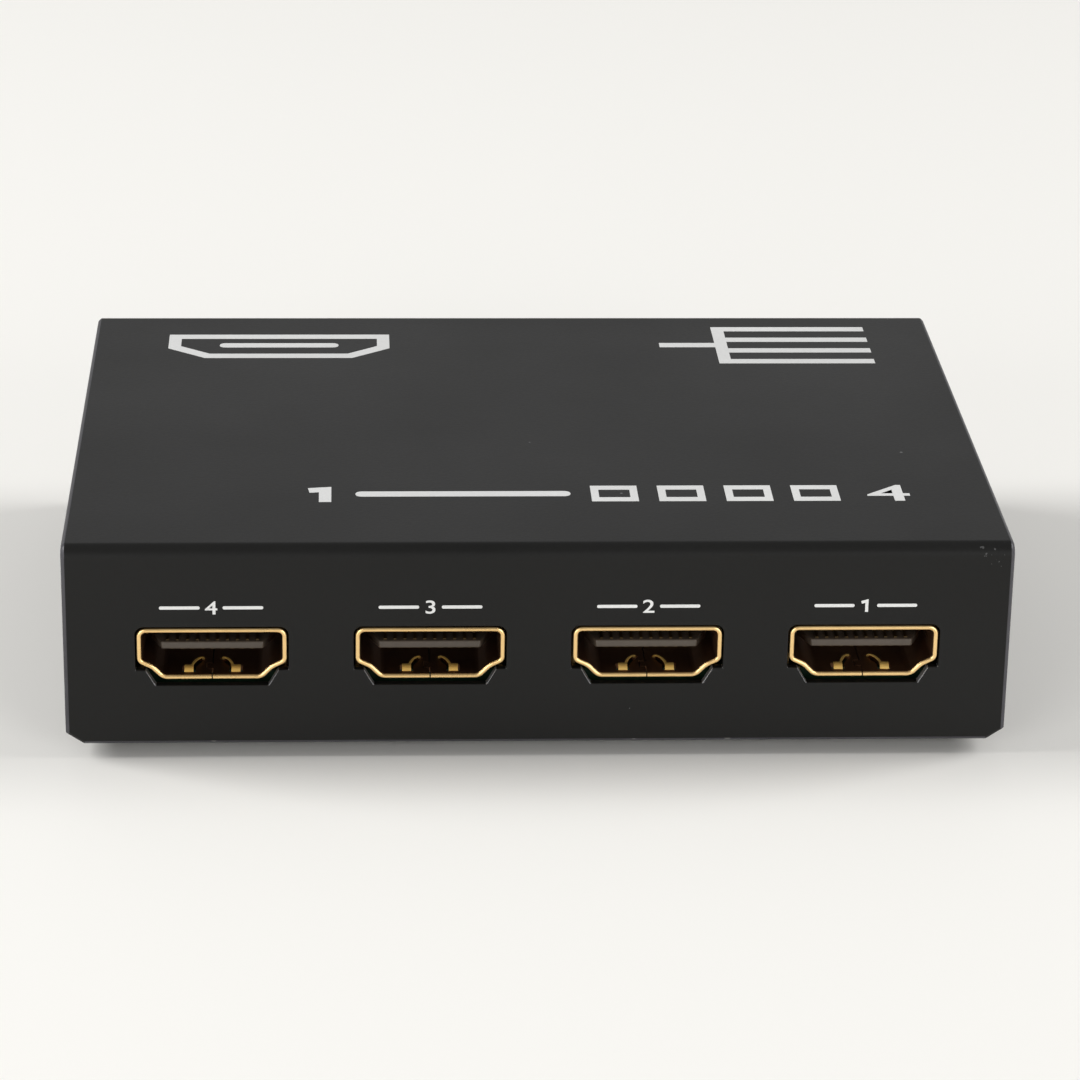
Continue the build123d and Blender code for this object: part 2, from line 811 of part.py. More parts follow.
def gull_leads(place, rows, body_width, exit_height, sheet, reach):
    """Leads bent down and out onto the board; a row is its side of the body, its places and their width."""
    knee = body_width / 2 + lead_knee_share * reach
    with BuildPart() as leads:
        for side, offsets, width in rows:
            along = place.y_dir * side
            planes = [
                Plane(place.origin + place.x_dir * across, x_dir=along, z_dir=place.x_dir * side)
                for across in offsets
            ]
            with BuildSketch(*planes):
                with BuildLine():
                    Polyline(
                        (body_width / 2, exit_height),
                        (knee, exit_height),
                        (knee, sheet / 2),
                        (body_width / 2 + reach, sheet / 2),
                    )
                trace(line_width=sheet)
            extrude(amount=width / 2, both=True)
    return leads


# Voltage regulator: three leads on one side and a wide tab on the other
regulator_place = board_plane(regulator_place_shares)
regulator_rows = [
    (-1, spread(regulator_lead_count, regulator_lead_pitch), regulator_lead_width),
    (1, [0], regulator_tab_width),
]
with BuildPart() as regulator_body:
    with BuildSketch(regulator_place.offset(chip_body_seat)):
        Rectangle(regulator_length, regulator_width)
    extrude(amount=regulator_height)
save(regulator_body, "regulator_body")
regulator_leads = gull_leads(
    regulator_place,
    regulator_rows,
    regulator_width,
    chip_body_seat + regulator_height / 2,
    regulator_lead_sheet,
    regulator_lead_reach,
)
save(regulator_leads, "regulator_leads")


# Memory chip with four leads a side
memory_place = board_plane(memory_place_shares)
memory_offsets = spread(memory_lead_count, memory_lead_pitch)
with BuildPart() as memory_chip_body:
    with BuildSketch(memory_place.offset(chip_body_seat)):
        Rectangle(memory_length, memory_width)
    extrude(amount=memory_height)
save(memory_chip_body, "memory_chip_body")
memory_chip_leads = gull_leads(
    memory_place,
    [(side, memory_offsets, memory_lead_width) for side in (-1, 1)],
    memory_width,
    chip_body_seat + memory_height / 2,
    memory_lead_sheet,
    memory_lead_reach,
)
save(memory_chip_leads, "memory_chip_leads")


# Can capacitors on moulded bases with two clipped corners
can_planes = [board_plane(shares) for shares in can_place_shares]
with BuildPart() as capacitor_bases:
    with BuildSketch(*can_planes):
        with BuildLine():
            half = can_base_side / 2
            Polyline(
                (-half, -half),
                (half, -half),
                (half, half - can_base_clip),
                (half - can_base_clip, half),
                (can_base_clip - half, half),
                (-half, half - can_base_clip),
                close=True,
            )
        make_face()
    extrude(amount=can_base_height)
save(capacitor_bases, "capacitor_bases")

with BuildPart() as capacitor_cans:
    with BuildSketch(*[plane.offset(can_base_height) for plane in can_planes]):
        Circle(can_diameter / 2)
    extrude(amount=can_height)
save(capacitor_cans, "capacitor_cans")


# Input fuse
with BuildPart() as input_fuse:
    with BuildSketch(board_plane(fuse_place_shares)):
        Rectangle(fuse_length, fuse_width)
    extrude(amount=fuse_height)
save(input_fuse, "input_fuse")


# Surge arrays, a pair behind each video socket
with BuildPart() as surge_arrays:
    with BuildSketch(*[level_plane(mouth, -socket_seat) for mouth in mouths.values()]):
        with Locations((0, socket_length + surge_behind_socket)):
            with GridLocations(surge_spacing, 0, 2, 1):
                Rectangle(surge_length, surge_width)
    extrude(amount=surge_height)
save(surge_arrays, "surge_arrays")


# Small capacitors beside the heat sink, and small resistors behind it
with BuildPart() as chip_capacitors:
    length, width, height = small_capacitor
    with BuildSketch(chip_plane):
        columns = sink_side + 2 * small_capacitor_gap + length
        with GridLocations(columns, small_capacitor_pitch, 2, small_capacitor_rows):
            Rectangle(length, width)
    extrude(amount=height)
save(chip_capacitors, "chip_capacitors")

with BuildPart() as chip_resistors:
    length, width, height = small_resistor
    with BuildSketch(chip_plane):
        with Locations((0, sink_side / 2 + small_resistor_gap)):
            with GridLocations(small_resistor_pitch, 0, small_resistor_count, 1):
                Rectangle(length, width)
    extrude(amount=height)
save(chip_resistors, "chip_resistors")
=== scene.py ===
"""Looks of a small sheet-metal video splitter: satin dark paint, gold sockets and plain white print."""

import json
import logging
import math
from contextlib import contextmanager
from dataclasses import dataclass
from enum import Enum
from typing import Callable, Iterator, Sequence

import bmesh
import bpy
from mathutils import Matrix, Vector

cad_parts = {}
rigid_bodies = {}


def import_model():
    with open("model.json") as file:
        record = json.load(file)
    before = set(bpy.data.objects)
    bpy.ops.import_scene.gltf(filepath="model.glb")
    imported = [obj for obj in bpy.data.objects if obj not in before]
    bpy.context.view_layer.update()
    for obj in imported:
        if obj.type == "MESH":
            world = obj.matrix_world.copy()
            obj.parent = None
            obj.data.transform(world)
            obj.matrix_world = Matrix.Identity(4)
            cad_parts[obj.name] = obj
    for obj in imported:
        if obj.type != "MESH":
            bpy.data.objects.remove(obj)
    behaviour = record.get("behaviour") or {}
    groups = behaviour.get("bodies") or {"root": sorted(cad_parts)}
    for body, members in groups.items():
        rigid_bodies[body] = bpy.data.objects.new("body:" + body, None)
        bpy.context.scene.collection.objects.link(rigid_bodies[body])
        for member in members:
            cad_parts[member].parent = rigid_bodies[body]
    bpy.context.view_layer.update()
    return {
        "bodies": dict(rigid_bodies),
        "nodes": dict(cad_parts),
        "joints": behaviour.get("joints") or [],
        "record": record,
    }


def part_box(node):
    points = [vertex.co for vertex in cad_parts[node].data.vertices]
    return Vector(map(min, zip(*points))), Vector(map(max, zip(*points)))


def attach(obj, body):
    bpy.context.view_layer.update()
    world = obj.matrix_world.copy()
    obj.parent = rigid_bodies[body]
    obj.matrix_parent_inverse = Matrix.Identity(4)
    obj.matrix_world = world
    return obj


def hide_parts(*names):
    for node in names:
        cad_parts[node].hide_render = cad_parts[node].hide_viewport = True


log = logging.getLogger("splitter")

BODY = "root"
METRES = 0.001  # sizes are in millimetres, and a piece is brought to metres when it's placed
AS_IT_LIES = Matrix.Scale(1 / METRES, 4)  # the place of a copied node, whose mesh is in metres already
NEAR = 0.001  # a point that is closer than this lies on a plane
BEYOND = 1.0  # how far a cutter runs past what it cuts
SMOOTH_BELOW = 40.0  # degrees: edges flatter than this are shaded smooth
INK_FILM = 0.02
OUTPUTS = ("output_1", "output_2", "output_3", "output_4")
SOCKETS = OUTPUTS + ("input",)

Point = tuple[float, float, float]
FlatPoint = tuple[float, float]
Span = tuple[float, float]
Colour = tuple[float, float, float]
Test = Callable[[Vector], bool]


class Pick(Enum):
    """What a selection in edit mode is made of."""

    VERTEX = "VERT"
    EDGE = "EDGE"
    FACE = "FACE"


class Skin(Enum):
    """What a face of the cover wears, as its place among the cover's materials."""

    PAINT = 0
    RIM = 1
    CUT_EDGE = 2


# Modelling tools


def deselect() -> None:
    """Clears the selection."""
    bpy.ops.object.select_all(action="DESELECT")


def on(value: float, plane: float) -> bool:
    """Whether a place lies on a plane."""
    return abs(value - plane) < NEAR


def turned(degrees: float, axis: str) -> Matrix:
    """A turn about an axis."""
    return Matrix.Rotation(math.radians(degrees), 4, axis)


def activate(piece: bpy.types.Object) -> None:
    """Makes a piece the only selected one, and the active one.

    Args:
        piece: the piece.
    """
    deselect()
    piece.select_set(True)
    bpy.context.view_layer.objects.active = piece


def added(name: str) -> bpy.types.Object:
    """Names the primitive that was just added, with its place taken into its mesh.

    Args:
        name: its name.

    Returns:
        The new piece.
    """
    piece = bpy.context.active_object
    piece.name = name
    bpy.ops.object.transform_apply(location=True, rotation=True, scale=True)
    return piece


def twin(piece: bpy.types.Object, name: str) -> bpy.types.Object:
    """Copies a piece with a mesh of its own.

    Args:
        piece: what is copied.
        name: the copy's name.

    Returns:
        The copy, linked to the scene.
    """
    copy = piece.copy()
    copy.data = piece.data.copy()
    copy.name = name
    bpy.context.scene.collection.objects.link(copy)
    return copy


@contextmanager
def editing(piece: bpy.types.Object) -> Iterator[None]:
    """Edit mode on one piece, with all of its mesh selected at first.

    Args:
        piece: the piece.
    """
    activate(piece)
    bpy.ops.object.mode_set(mode="EDIT")
    bpy.ops.mesh.select_all(action="SELECT")
    try:
        yield
    finally:
        bpy.ops.object.mode_set(mode="OBJECT")


def choose(piece: bpy.types.Object, pick: Pick, test: Test) -> None:
    """Selects, in edit mode, the parts of a mesh whose middle passes a test.

    Args:
        piece: the piece in edit mode.
        pick: vertices, edges or faces.
        test: says whether a middle point is wanted.
    """
    bpy.ops.mesh.select_mode(type=pick.value)
    bpy.ops.mesh.select_all(action="DESELECT")
    mesh = bmesh.from_edit_mesh(piece.data)
    if pick is Pick.VERTEX:
        found = [vertex for vertex in mesh.verts if test(vertex.co)]
    elif pick is Pick.EDGE:
        found = [edge for edge in mesh.edges if test((edge.verts[0].co + edge.verts[1].co) / 2)]
    else:
        found = [face for face in mesh.faces if test(face.calc_center_median())]
    for item in found:
        item.select_set(True)
    mesh.select_flush_mode()
    bmesh.update_edit_mesh(piece.data)


def apply_all(piece: bpy.types.Object) -> None:
    """Applies every modifier of a piece.

    Args:
        piece: the piece.
    """
    activate(piece)
    for modifier in list(piece.modifiers):
        bpy.ops.object.modifier_apply(modifier=modifier.name)


def smooth(piece: bpy.types.Object) -> None:
    """Shades a piece smooth, apart from its sharp edges."""
    activate(piece)
    bpy.ops.object.shade_smooth_by_angle(angle=math.radians(SMOOTH_BELOW))


def shade(piece: bpy.types.Object) -> None:
    """Shades a piece smooth across its roundings, while its large faces stay flat.

    Args:
        piece: the piece.
    """
    smooth(piece)
    weighted = piece.modifiers.new("flat_faces", "WEIGHTED_NORMAL")
    weighted.keep_sharp = True
    apply_all(piece)


def soften(piece: bpy.types.Object, width: float, segments: int = 2, angle: float = 30.0) -> None:
    """Rounds the sharp edges of a piece and shades it.

    Args:
        piece: the piece.
        width: how far the rounding reaches, in the mesh's own unit.
        segments: faces across the rounding.
        angle: edges sharper than this are rounded, in degrees.
    """
    bevel = piece.modifiers.new("rounding", "BEVEL")
    bevel.width = width
    bevel.segments = segments
    bevel.limit_method = "ANGLE"
    bevel.angle_limit = math.radians(angle)
    bevel.use_clamp_overlap = False
    apply_all(piece)
    shade(piece)


def thicken(piece: bpy.types.Object, sheet: float, offset: float = 0.0) -> None:
    """Gives a surface the thickness of a sheet.

    Args:
        piece: the surface.
        sheet: the thickness, in the mesh's own unit.
        offset: 0 for a sheet on both sides of the surface, or -1 for one on its inner side.
    """
    solid = piece.modifiers.new("sheet", "SOLIDIFY")
    solid.thickness = sheet
    solid.offset = offset
    solid.use_even_offset = True
    apply_all(piece)
    with editing(piece):
        bpy.ops.mesh.normals_make_consistent(inside=False)


def cut(piece: bpy.types.Object, cutter: bpy.types.Object) -> None:
    """Takes the cutter's volume out of a piece, and deletes the cutter.

    Args:
        piece: what is cut.
        cutter: what is taken away.
    """
    modifier = piece.modifiers.new("cut", "BOOLEAN")
    modifier.operation = "DIFFERENCE"
    modifier.solver = "EXACT"
    modifier.object = cutter
    apply_all(piece)
    bpy.data.objects.remove(cutter, do_unlink=True)


def joined(pieces: Sequence[bpy.types.Object], name: str) -> bpy.types.Object:
    """Joins pieces into the first one.

    Args:
        pieces: the pieces, in order.
        name: the name of what they become.

    Returns:
        The one piece.
    """
    activate(pieces[0])
    for piece in pieces:
        piece.select_set(True)
    bpy.ops.object.join()
    pieces[0].name = name
    return pieces[0]


def repeated(piece: bpy.types.Object, places: Sequence[Matrix], name: str) -> bpy.types.Object:
    """Copies a piece to each place, joins the copies and deletes the pattern.

    Args:
        piece: the pattern.
        places: where each copy goes.
        name: the name of the group.

    Returns:
        The copies as one piece.
    """
    copies = []
    for place in places:
        copy = twin(piece, name)
        copy.data.transform(place)
        copies.append(copy)
    bpy.data.objects.remove(piece, do_unlink=True)
    return joined(copies, name)


def block(name: str, low: Point, high: Point) -> bpy.types.Object:
    """Adds a block between two corners.

    Args:
        name: its name.
        low: the lower corner.
        high: the upper corner.

    Returns:
        The block.
    """
    deselect()
    middle = [(a + b) / 2 for a, b in zip(low, high)]
    size = [b - a for a, b in zip(low, high)]
    bpy.ops.mesh.primitive_cube_add(size=1, location=middle, scale=size)
    return added(name)


def path_line(name: str, points: Sequence[Point], closed: bool = False) -> bpy.types.Object:
    """Adds a ring of vertices and pulls it onto a line of points.

    Args:
        name: the line's name.
        points: where its vertices go, three at the least.
        closed: whether the last point joins the first.

    Returns:
        The line, of edges alone.
    """
    deselect()
    bpy.ops.mesh.primitive_circle_add(vertices=len(points), fill_type="NOTHING")
    line = added(name)
    ends = {0, len(points) - 1}
    if not closed:
        with editing(line):
            bpy.ops.mesh.select_mode(type="EDGE")
            bpy.ops.mesh.select_all(action="DESELECT")
            mesh = bmesh.from_edit_mesh(line.data)
            for edge in mesh.edges:
                if {edge.verts[0].index, edge.verts[1].index} == ends:
                    edge.select_set(True)
            bmesh.update_edit_mesh(line.data)
            bpy.ops.mesh.delete(type="EDGE")
    for vertex, point in zip(line.data.vertices, points):
        vertex.co = point
    return line


def strip(name: str, points: Sequence[Point], width: float, sheet: float) -> bpy.types.Object:
    """Bends a thin strip along a line, with its width across X.

    Args:
        name: the strip's name.
        points: its middle line.
        width: its width.
        sheet: its thickness.

    Returns:
        The strip, with rounded edges.
    """
    edge_share, edge_angle = 0.25, 50.0
    piece = path_line(name, [(x - width / 2, y, z) for x, y, z in points])
    with editing(piece):
        bpy.ops.mesh.extrude_edges_move(TRANSFORM_OT_translate={"value": (width, 0, 0)})
    thicken(piece, sheet)
    soften(piece, sheet * edge_share, 2, edge_angle)
    return piece


def lathe(name: str, profile: Sequence[FlatPoint], steps: int = 48) -> bpy.types.Object:
    """Turns a profile about Z, from pole to pole.

    Args:
        name: the piece's name.
        profile: pairs of radius and height.
        steps: faces round the axis.

    Returns:
        The turned piece.
    """
    weld = 0.0005
    piece = path_line(name, [(radius, 0, height) for radius, height in profile])
    with editing(piece):
        bpy.ops.mesh.spin(steps=steps, angle=math.tau, center=(0, 0, 0), axis=(0, 0, 1))
        bpy.ops.mesh.select_all(action="SELECT")
        bpy.ops.mesh.remove_doubles(threshold=weld)
        bpy.ops.mesh.normals_make_consistent(inside=False)
    smooth(piece)
    return piece


def merged_copy(node: str, frame: dict) -> bpy.types.Object:
    """Copies a CAD node into a piece of its own, welded and with its flat faces whole.

    Args:
        node: the node's name.
        frame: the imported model.

    Returns:
        The copy, whose mesh is in metres.
    """
    weld, flat_below = 0.000001, 0.2
    piece = twin(frame["nodes"][node], f"{node}_finished")
    for key in list(piece.keys()):
        del piece[key]
    piece.parent = None
    with editing(piece):
        bpy.ops.mesh.remove_doubles(threshold=weld)
        bpy.ops.mesh.customdata_custom_splitnormals_clear()
        bpy.ops.mesh.dissolve_limited(angle_limit=math.radians(flat_below))
    return piece


def settle(piece: bpy.types.Object, place: Matrix, node: str | None) -> None:
    """Brings a piece to its place in metres, ties it to the body, and hides the CAD node that it replaces.

    Args:
        piece: the piece, in millimetres.
        place: where it goes, in metres.
        node: the CAD node that it replaces, if it does.
    """
    piece.data.transform(place @ Matrix.Scale(METRES, 4))
    piece.data.update()
    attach(piece, BODY)
    if node:
        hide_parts(node)
    log.info("%s: %d faces", piece.name, len(piece.data.polygons))


# Shared surface effects


@dataclass(frozen=True)
class Port:
    """One input or output of an effect."""

    name: str
    kind: str
    value: float | None = None


class Effect:
    """A shader node group that several finishes use."""

    def __init__(self, name: str, inputs: Sequence[Port], outputs: Sequence[Port]) -> None:
        """Starts an empty group.

        Args:
            name: the effect's name.
            inputs: what each material may set.
            outputs: what the group gives.
        """
        self.tree = bpy.data.node_groups.new(name, "ShaderNodeTree")
        for side, ports in (("INPUT", inputs), ("OUTPUT", outputs)):
            for port in ports:
                made = self.tree.interface.new_socket(
                    name=port.name, in_out=side, socket_type=f"NodeSocket{port.kind}"
                )
                if port.value is not None:
                    made.default_value = port.value
        self.start = self.tree.nodes.new("NodeGroupInput")
        self.end = self.tree.nodes.new("NodeGroupOutput")
        self.coordinates = self.tree.nodes.new("ShaderNodeTexCoord")

    def node(self, kind: str, **settings: object) -> bpy.types.Node:
        """Adds a node.

        Args:
            kind: the node's type.
            settings: its properties.

        Returns:
            The node.
        """
        node = self.tree.nodes.new(kind)
        for name, value in settings.items():
            setattr(node, name, value)
        return node

    def link(self, source: bpy.types.NodeSocket, target: bpy.types.NodeSocket) -> None:
        """Joins two sockets."""
        self.tree.links.new(source, target)

    def feed(self, target: bpy.types.NodeSocket, source: bpy.types.NodeSocket | float) -> None:
        """Sets a socket to a number, or joins it to another.

        Args:
            target: the socket.
            source: the number or the other socket.
        """
        if isinstance(source, float):
            target.default_value = source
        else:
            self.link(source, target)

    def calc(self, operation: str, *terms: bpy.types.NodeSocket | float) -> bpy.types.NodeSocket:
        """Adds a step of arithmetic.

        Args:
            operation: the math node's operation.
            terms: a socket or a number for each of its inputs.

        Returns:
            The result.
        """
        node = self.node("ShaderNodeMath", operation=operation)
        for socket, term in zip(node.inputs, terms):
            self.feed(socket, term)
        return node.outputs["Value"]

    def noise(self, scale: bpy.types.NodeSocket | float, detail: float = 3.0) -> bpy.types.NodeSocket:
        """Adds a noise on object coordinates.

        Args:
            scale: its scale.
            detail: its octaves.

        Returns:
            The noise's value.
        """
        noise = self.node("ShaderNodeTexNoise")
        self.link(self.coordinates.outputs["Object"], noise.inputs["Vector"])
        self.feed(noise.inputs["Scale"], scale)
        noise.inputs["Detail"].default_value = detail
        return noise.outputs["Fac"]


def grain_effect() -> Effect:
    """Fine grain over broad clouds as a value, and the grain alone as a height for a bump.

    Returns:
        The effect.
    """
    cloud_scale, grain_share = 35.0, 0.4
    effect = Effect(
        "fine_grain", [Port("Scale", "Float", 1500.0)], [Port("Value", "Float"), Port("Height", "Float")]
    )
    grain = effect.noise(effect.start.outputs["Scale"], 4.0)
    clouds = effect.noise(cloud_scale, 3.0)
    value = effect.calc("ADD", clouds, effect.calc("MULTIPLY", grain, grain_share))
    effect.link(value, effect.end.inputs["Value"])
    effect.link(grain, effect.end.inputs["Height"])
    return effect


def speck_effect() -> Effect:
    """Sparse round specks, such as dust or tiny chips, as a mask.

    Returns:
        The effect.
    """
    effect = Effect(
        "specks",
        [Port("Scale", "Float", 220.0), Port("Size", "Float", 0.1), Port("Amount", "Float", 0.3)],
        [Port("Mask", "Float")],
    )
    cells = effect.node("ShaderNodeTexVoronoi", feature="F1")
    effect.link(effect.coordinates.outputs["Object"], cells.inputs["Vector"])
    effect.link(effect.start.outputs["Scale"], cells.inputs["Scale"])
    split = effect.node("ShaderNodeSeparateColor")
    effect.link(cells.outputs["Color"], split.inputs["Color"])
    inside = effect.calc("LESS_THAN", cells.outputs["Distance"], effect.start.outputs["Size"])
    few = effect.calc("LESS_THAN", split.outputs["Red"], effect.start.outputs["Amount"])
    effect.link(effect.calc("MULTIPLY", inside, few), effect.end.inputs["Mask"])
    return effect


def brushed_effect() -> Effect:
    """Fine lines along one direction, as drawn or rolled metal has.

    Returns:
        The effect.
    """
    effect = Effect(
        "drawn_lines",
        [Port("Across", "Float", 4000.0), Port("Along", "Float", 120.0)],
        [Port("Value", "Float")],
    )
    stretch = effect.node("ShaderNodeCombineXYZ")
    for axis, port in (("X", "Along"), ("Y", "Along"), ("Z", "Across")):
        effect.link(effect.start.outputs[port], stretch.inputs[axis])
    scaled = effect.node("ShaderNodeVectorMath", operation="MULTIPLY")
    effect.link(effect.coordinates.outputs["Object"], scaled.inputs[0])
    effect.link(stretch.outputs["Vector"], scaled.inputs[1])
    noise = effect.node("ShaderNodeTexNoise")
    effect.link(scaled.outputs["Vector"], noise.inputs["Vector"])
    effect.feed(noise.inputs["Scale"], 1.0)
    effect.feed(noise.inputs["Detail"], 4.0)
    effect.link(noise.outputs["Fac"], effect.end.inputs["Value"])
    return effect


def wear_effect() -> Effect:
    """Small chips in the paint round one corner, as a mask that thins out away from it.

    Returns:
        The effect.
    """
    chip_scale = 2100.0
    threshold, threshold_rise = 0.63, 0.14  # of the noise, at the corner and from there to the reach
    effect = Effect(
        "corner_wear", [Port("Corner", "Vector"), Port("Reach", "Float", 0.004)], [Port("Mask", "Float")]
    )
    away = effect.node("ShaderNodeVectorMath", operation="DISTANCE")
    effect.link(effect.coordinates.outputs["Object"], away.inputs[0])
    effect.link(effect.start.outputs["Corner"], away.inputs[1])
    share = effect.calc("DIVIDE", away.outputs["Value"], effect.start.outputs["Reach"])
    limit = effect.calc("MULTIPLY_ADD", share, threshold_rise, threshold)
    chips = effect.calc("GREATER_THAN", effect.noise(chip_scale, 2.0), limit)
    mask = effect.calc("MULTIPLY", chips, effect.calc("LESS_THAN", share, 1.0))
    effect.link(mask, effect.end.inputs["Mask"])
    return effect


class Effects:
    """The four shared effects, built once."""

    def __init__(self) -> None:
        """Builds the groups."""
        self.grain = grain_effect().tree
        self.specks = speck_effect().tree
        self.drawn = brushed_effect().tree
        self.wear = wear_effect().tree


# Finishes

GRAIN_SPAN = (0.35, 0.95)  # values between which a finish goes from its first colour to its second
LINES_SPAN = (0.35, 0.65)
GLOSS_SPAN = (0.3, 0.9)  # values between which its roughness swings
SMOOTHEST = 0.02  # the least roughness that the swing may reach
BUMP_STRENGTH = 0.6
WEAR_SHARE = 0.5  # how bright a worn chip is beside a speck


def placed(tree: bpy.types.NodeTree, group: bpy.types.NodeTree, **values: object) -> bpy.types.Node:
    """Places an effect in a material.

    Args:
        tree: the material's nodes.
        group: the effect.
        values: its inputs in this material.

    Returns:
        The group node.
    """
    node = tree.nodes.new("ShaderNodeGroup")
    node.node_tree = group
    for name, value in values.items():
        node.inputs[name].default_value = value
    return node


def ranged(
    tree: bpy.types.NodeTree, source: bpy.types.NodeSocket, span: Span, reach: Span = (0.0, 1.0)
) -> bpy.types.NodeSocket:
    """Adds a clamped map from one span to another.

    Args:
        tree: the material's nodes.
        source: the value.
        span: its two ends.
        reach: what the ends become.

    Returns:
        The mapped value.
    """
    node = tree.nodes.new("ShaderNodeMapRange")
    tree.links.new(source, node.inputs["Value"])
    for end, value in zip(("From Min", "From Max", "To Min", "To Max"), (*span, *reach)):
        node.inputs[end].default_value = value
    return node.outputs["Result"]


def mixed(
    tree: bpy.types.NodeTree,
    share: bpy.types.NodeSocket,
    first: bpy.types.NodeSocket | Colour,
    second: Colour,
) -> bpy.types.NodeSocket:
    """Adds a mix of two colours.

    Args:
        tree: the material's nodes.
        share: how much of the second colour there is.
        first: a colour, or the socket that gives it.
        second: the other colour.

    Returns:
        The mixed colour.
    """
    node = tree.nodes.new("ShaderNodeMix")
    node.data_type = "RGBA"
    first_colour, second_colour, result = node.inputs[6], node.inputs[7], node.outputs[2]
    tree.links.new(share, node.inputs["Factor"])
    if isinstance(first, tuple):
        first_colour.default_value = (*first, 1)
    else:
        tree.links.new(first, first_colour)
    second_colour.default_value = (*second, 1)
    return result


@dataclass(frozen=True)
class Finish:
    """A surface finish. Colours are linear. Bumps, corners and reaches are in metres."""

    name: str
    colour: Colour
    second: Colour
    roughness: float
    metallic: float = 0.0
    specular: float = 0.5
    grain_scale: float = 1500.0
    bump: float = 0.0
    roughness_swing: float = 0.1
    drawn: bool = False
    speck_colour: Colour | None = None
    speck_scale: float = 220.0
    speck_size: float = 0.05
    speck_amount: float = 0.2
    coat: float = 0.0
    transmission: float = 0.0
    worn_corner: Point | None = None
    worn_reach: float = 0.0

    def build(self, effects: Effects) -> bpy.types.Material:
        """Makes the material.

        Args:
            effects: the shared node groups.

        Returns:
            The finished material.
        """
        material = bpy.data.materials.new(self.name)
        material.use_nodes = True
        tree = material.node_tree
        shader = tree.nodes["Principled BSDF"]
        shader.inputs["Specular IOR Level"].default_value = self.specular
        shader.inputs["Metallic"].default_value = self.metallic
        shader.inputs["Coat Weight"].default_value = self.coat
        shader.inputs["Transmission Weight"].default_value = self.transmission

        grain = placed(tree, effects.grain, Scale=self.grain_scale)
        value, height = grain.outputs["Value"], grain.outputs["Height"]
        if self.drawn:
            value = height = placed(tree, effects.drawn).outputs["Value"]
        tree.links.new(self.base_colour(tree, effects, value), shader.inputs["Base Color"])

        swing = self.roughness_swing / 2
        gloss = (max(self.roughness - swing, SMOOTHEST), min(self.roughness + swing, 1.0))
        tree.links.new(ranged(tree, value, GLOSS_SPAN, gloss), shader.inputs["Roughness"])

        if self.bump:
            bump = tree.nodes.new("ShaderNodeBump")
            bump.inputs["Strength"].default_value = BUMP_STRENGTH
            bump.inputs["Distance"].default_value = self.bump
            tree.links.new(height, bump.inputs["Height"])
            tree.links.new(bump.outputs["Normal"], shader.inputs["Normal"])
        return material

    def base_colour(
        self, tree: bpy.types.NodeTree, effects: Effects, value: bpy.types.NodeSocket
    ) -> bpy.types.NodeSocket:
        """The finish's colour, with its specks and its wear.

        Args:
            tree: the material's nodes.
            effects: the shared node groups.
            value: the grain or the lines.

        Returns:
            The colour.
        """
        share = ranged(tree, value, LINES_SPAN if self.drawn else GRAIN_SPAN)
        result = mixed(tree, share, self.colour, self.second)
        if self.speck_colour:
            specks = placed(
                tree, effects.specks, Scale=self.speck_scale, Size=self.speck_size, Amount=self.speck_amount
            )
            result = mixed(tree, specks.outputs["Mask"], result, self.speck_colour)
        if self.speck_colour and self.worn_corner:
            wear = placed(tree, effects.wear, Corner=self.worn_corner, Reach=self.worn_reach)
            chip_colour = tuple(part * WEAR_SHARE for part in self.speck_colour)
            result = mixed(tree, wear.outputs["Mask"], result, chip_colour)
        return result


PAINT = Finish(
    "satin_paint", (0.0064, 0.0063, 0.0059), (0.0082, 0.0081, 0.0076), 0.42, specular=0.2,
    grain_scale=2600.0, bump=0.000018, speck_colour=(0.13, 0.13, 0.13), speck_scale=230.0, speck_size=0.035,
    speck_amount=0.16, worn_corner=(0.0455, -0.0357, 0.0218), worn_reach=0.0034,
)
# Edge paint along the cover's ends and foot: worn paint with chips, made lighter and bluish as a painted
# highlight and a painted reflection of light from below
RIM_WEAR_AND_HIGHLIGHT = Finish(
    "rim_paint", (0.0125, 0.0121, 0.0148), (0.052, 0.05, 0.059), 0.38, grain_scale=700.0, bump=0.00003,
    speck_colour=(0.14, 0.136, 0.13), speck_scale=520.0, speck_size=0.16, speck_amount=0.12,
)
# Bare, lighter sheet for the cut-outs' upward slanted faces only, where light catches: bare metal and a
# painted glint
CUT_EDGE = Finish(
    "cut_edge", (0.09, 0.09, 0.092), (0.3, 0.3, 0.31), 0.38, metallic=0.6, grain_scale=1600.0, bump=0.00002,
)
GOLD = Finish(
    "gold_plate", (0.84, 0.56, 0.24), (0.94, 0.66, 0.31), 0.27, metallic=1.0, grain_scale=900.0,
    bump=0.000004, roughness_swing=0.12,
)
# A darker copy of the gold for the shell's inner faces: painted shade inside the socket's mouth
GOLD_PAINTED_SHADE = Finish(
    "gold_inside", (0.135, 0.066, 0.035), (0.25, 0.126, 0.066), 0.4, metallic=1.0, grain_scale=500.0,
    bump=0.000004,
)
# A brighter, more yellow gold for the spring fingers: a painted highlight, a lit copy of the gold
FINGER_GOLD_PAINTED_HIGHLIGHT = Finish(
    "finger_gold", (0.98, 0.57, 0.13), (1.0, 0.67, 0.2), 0.38, metallic=0.7,
)
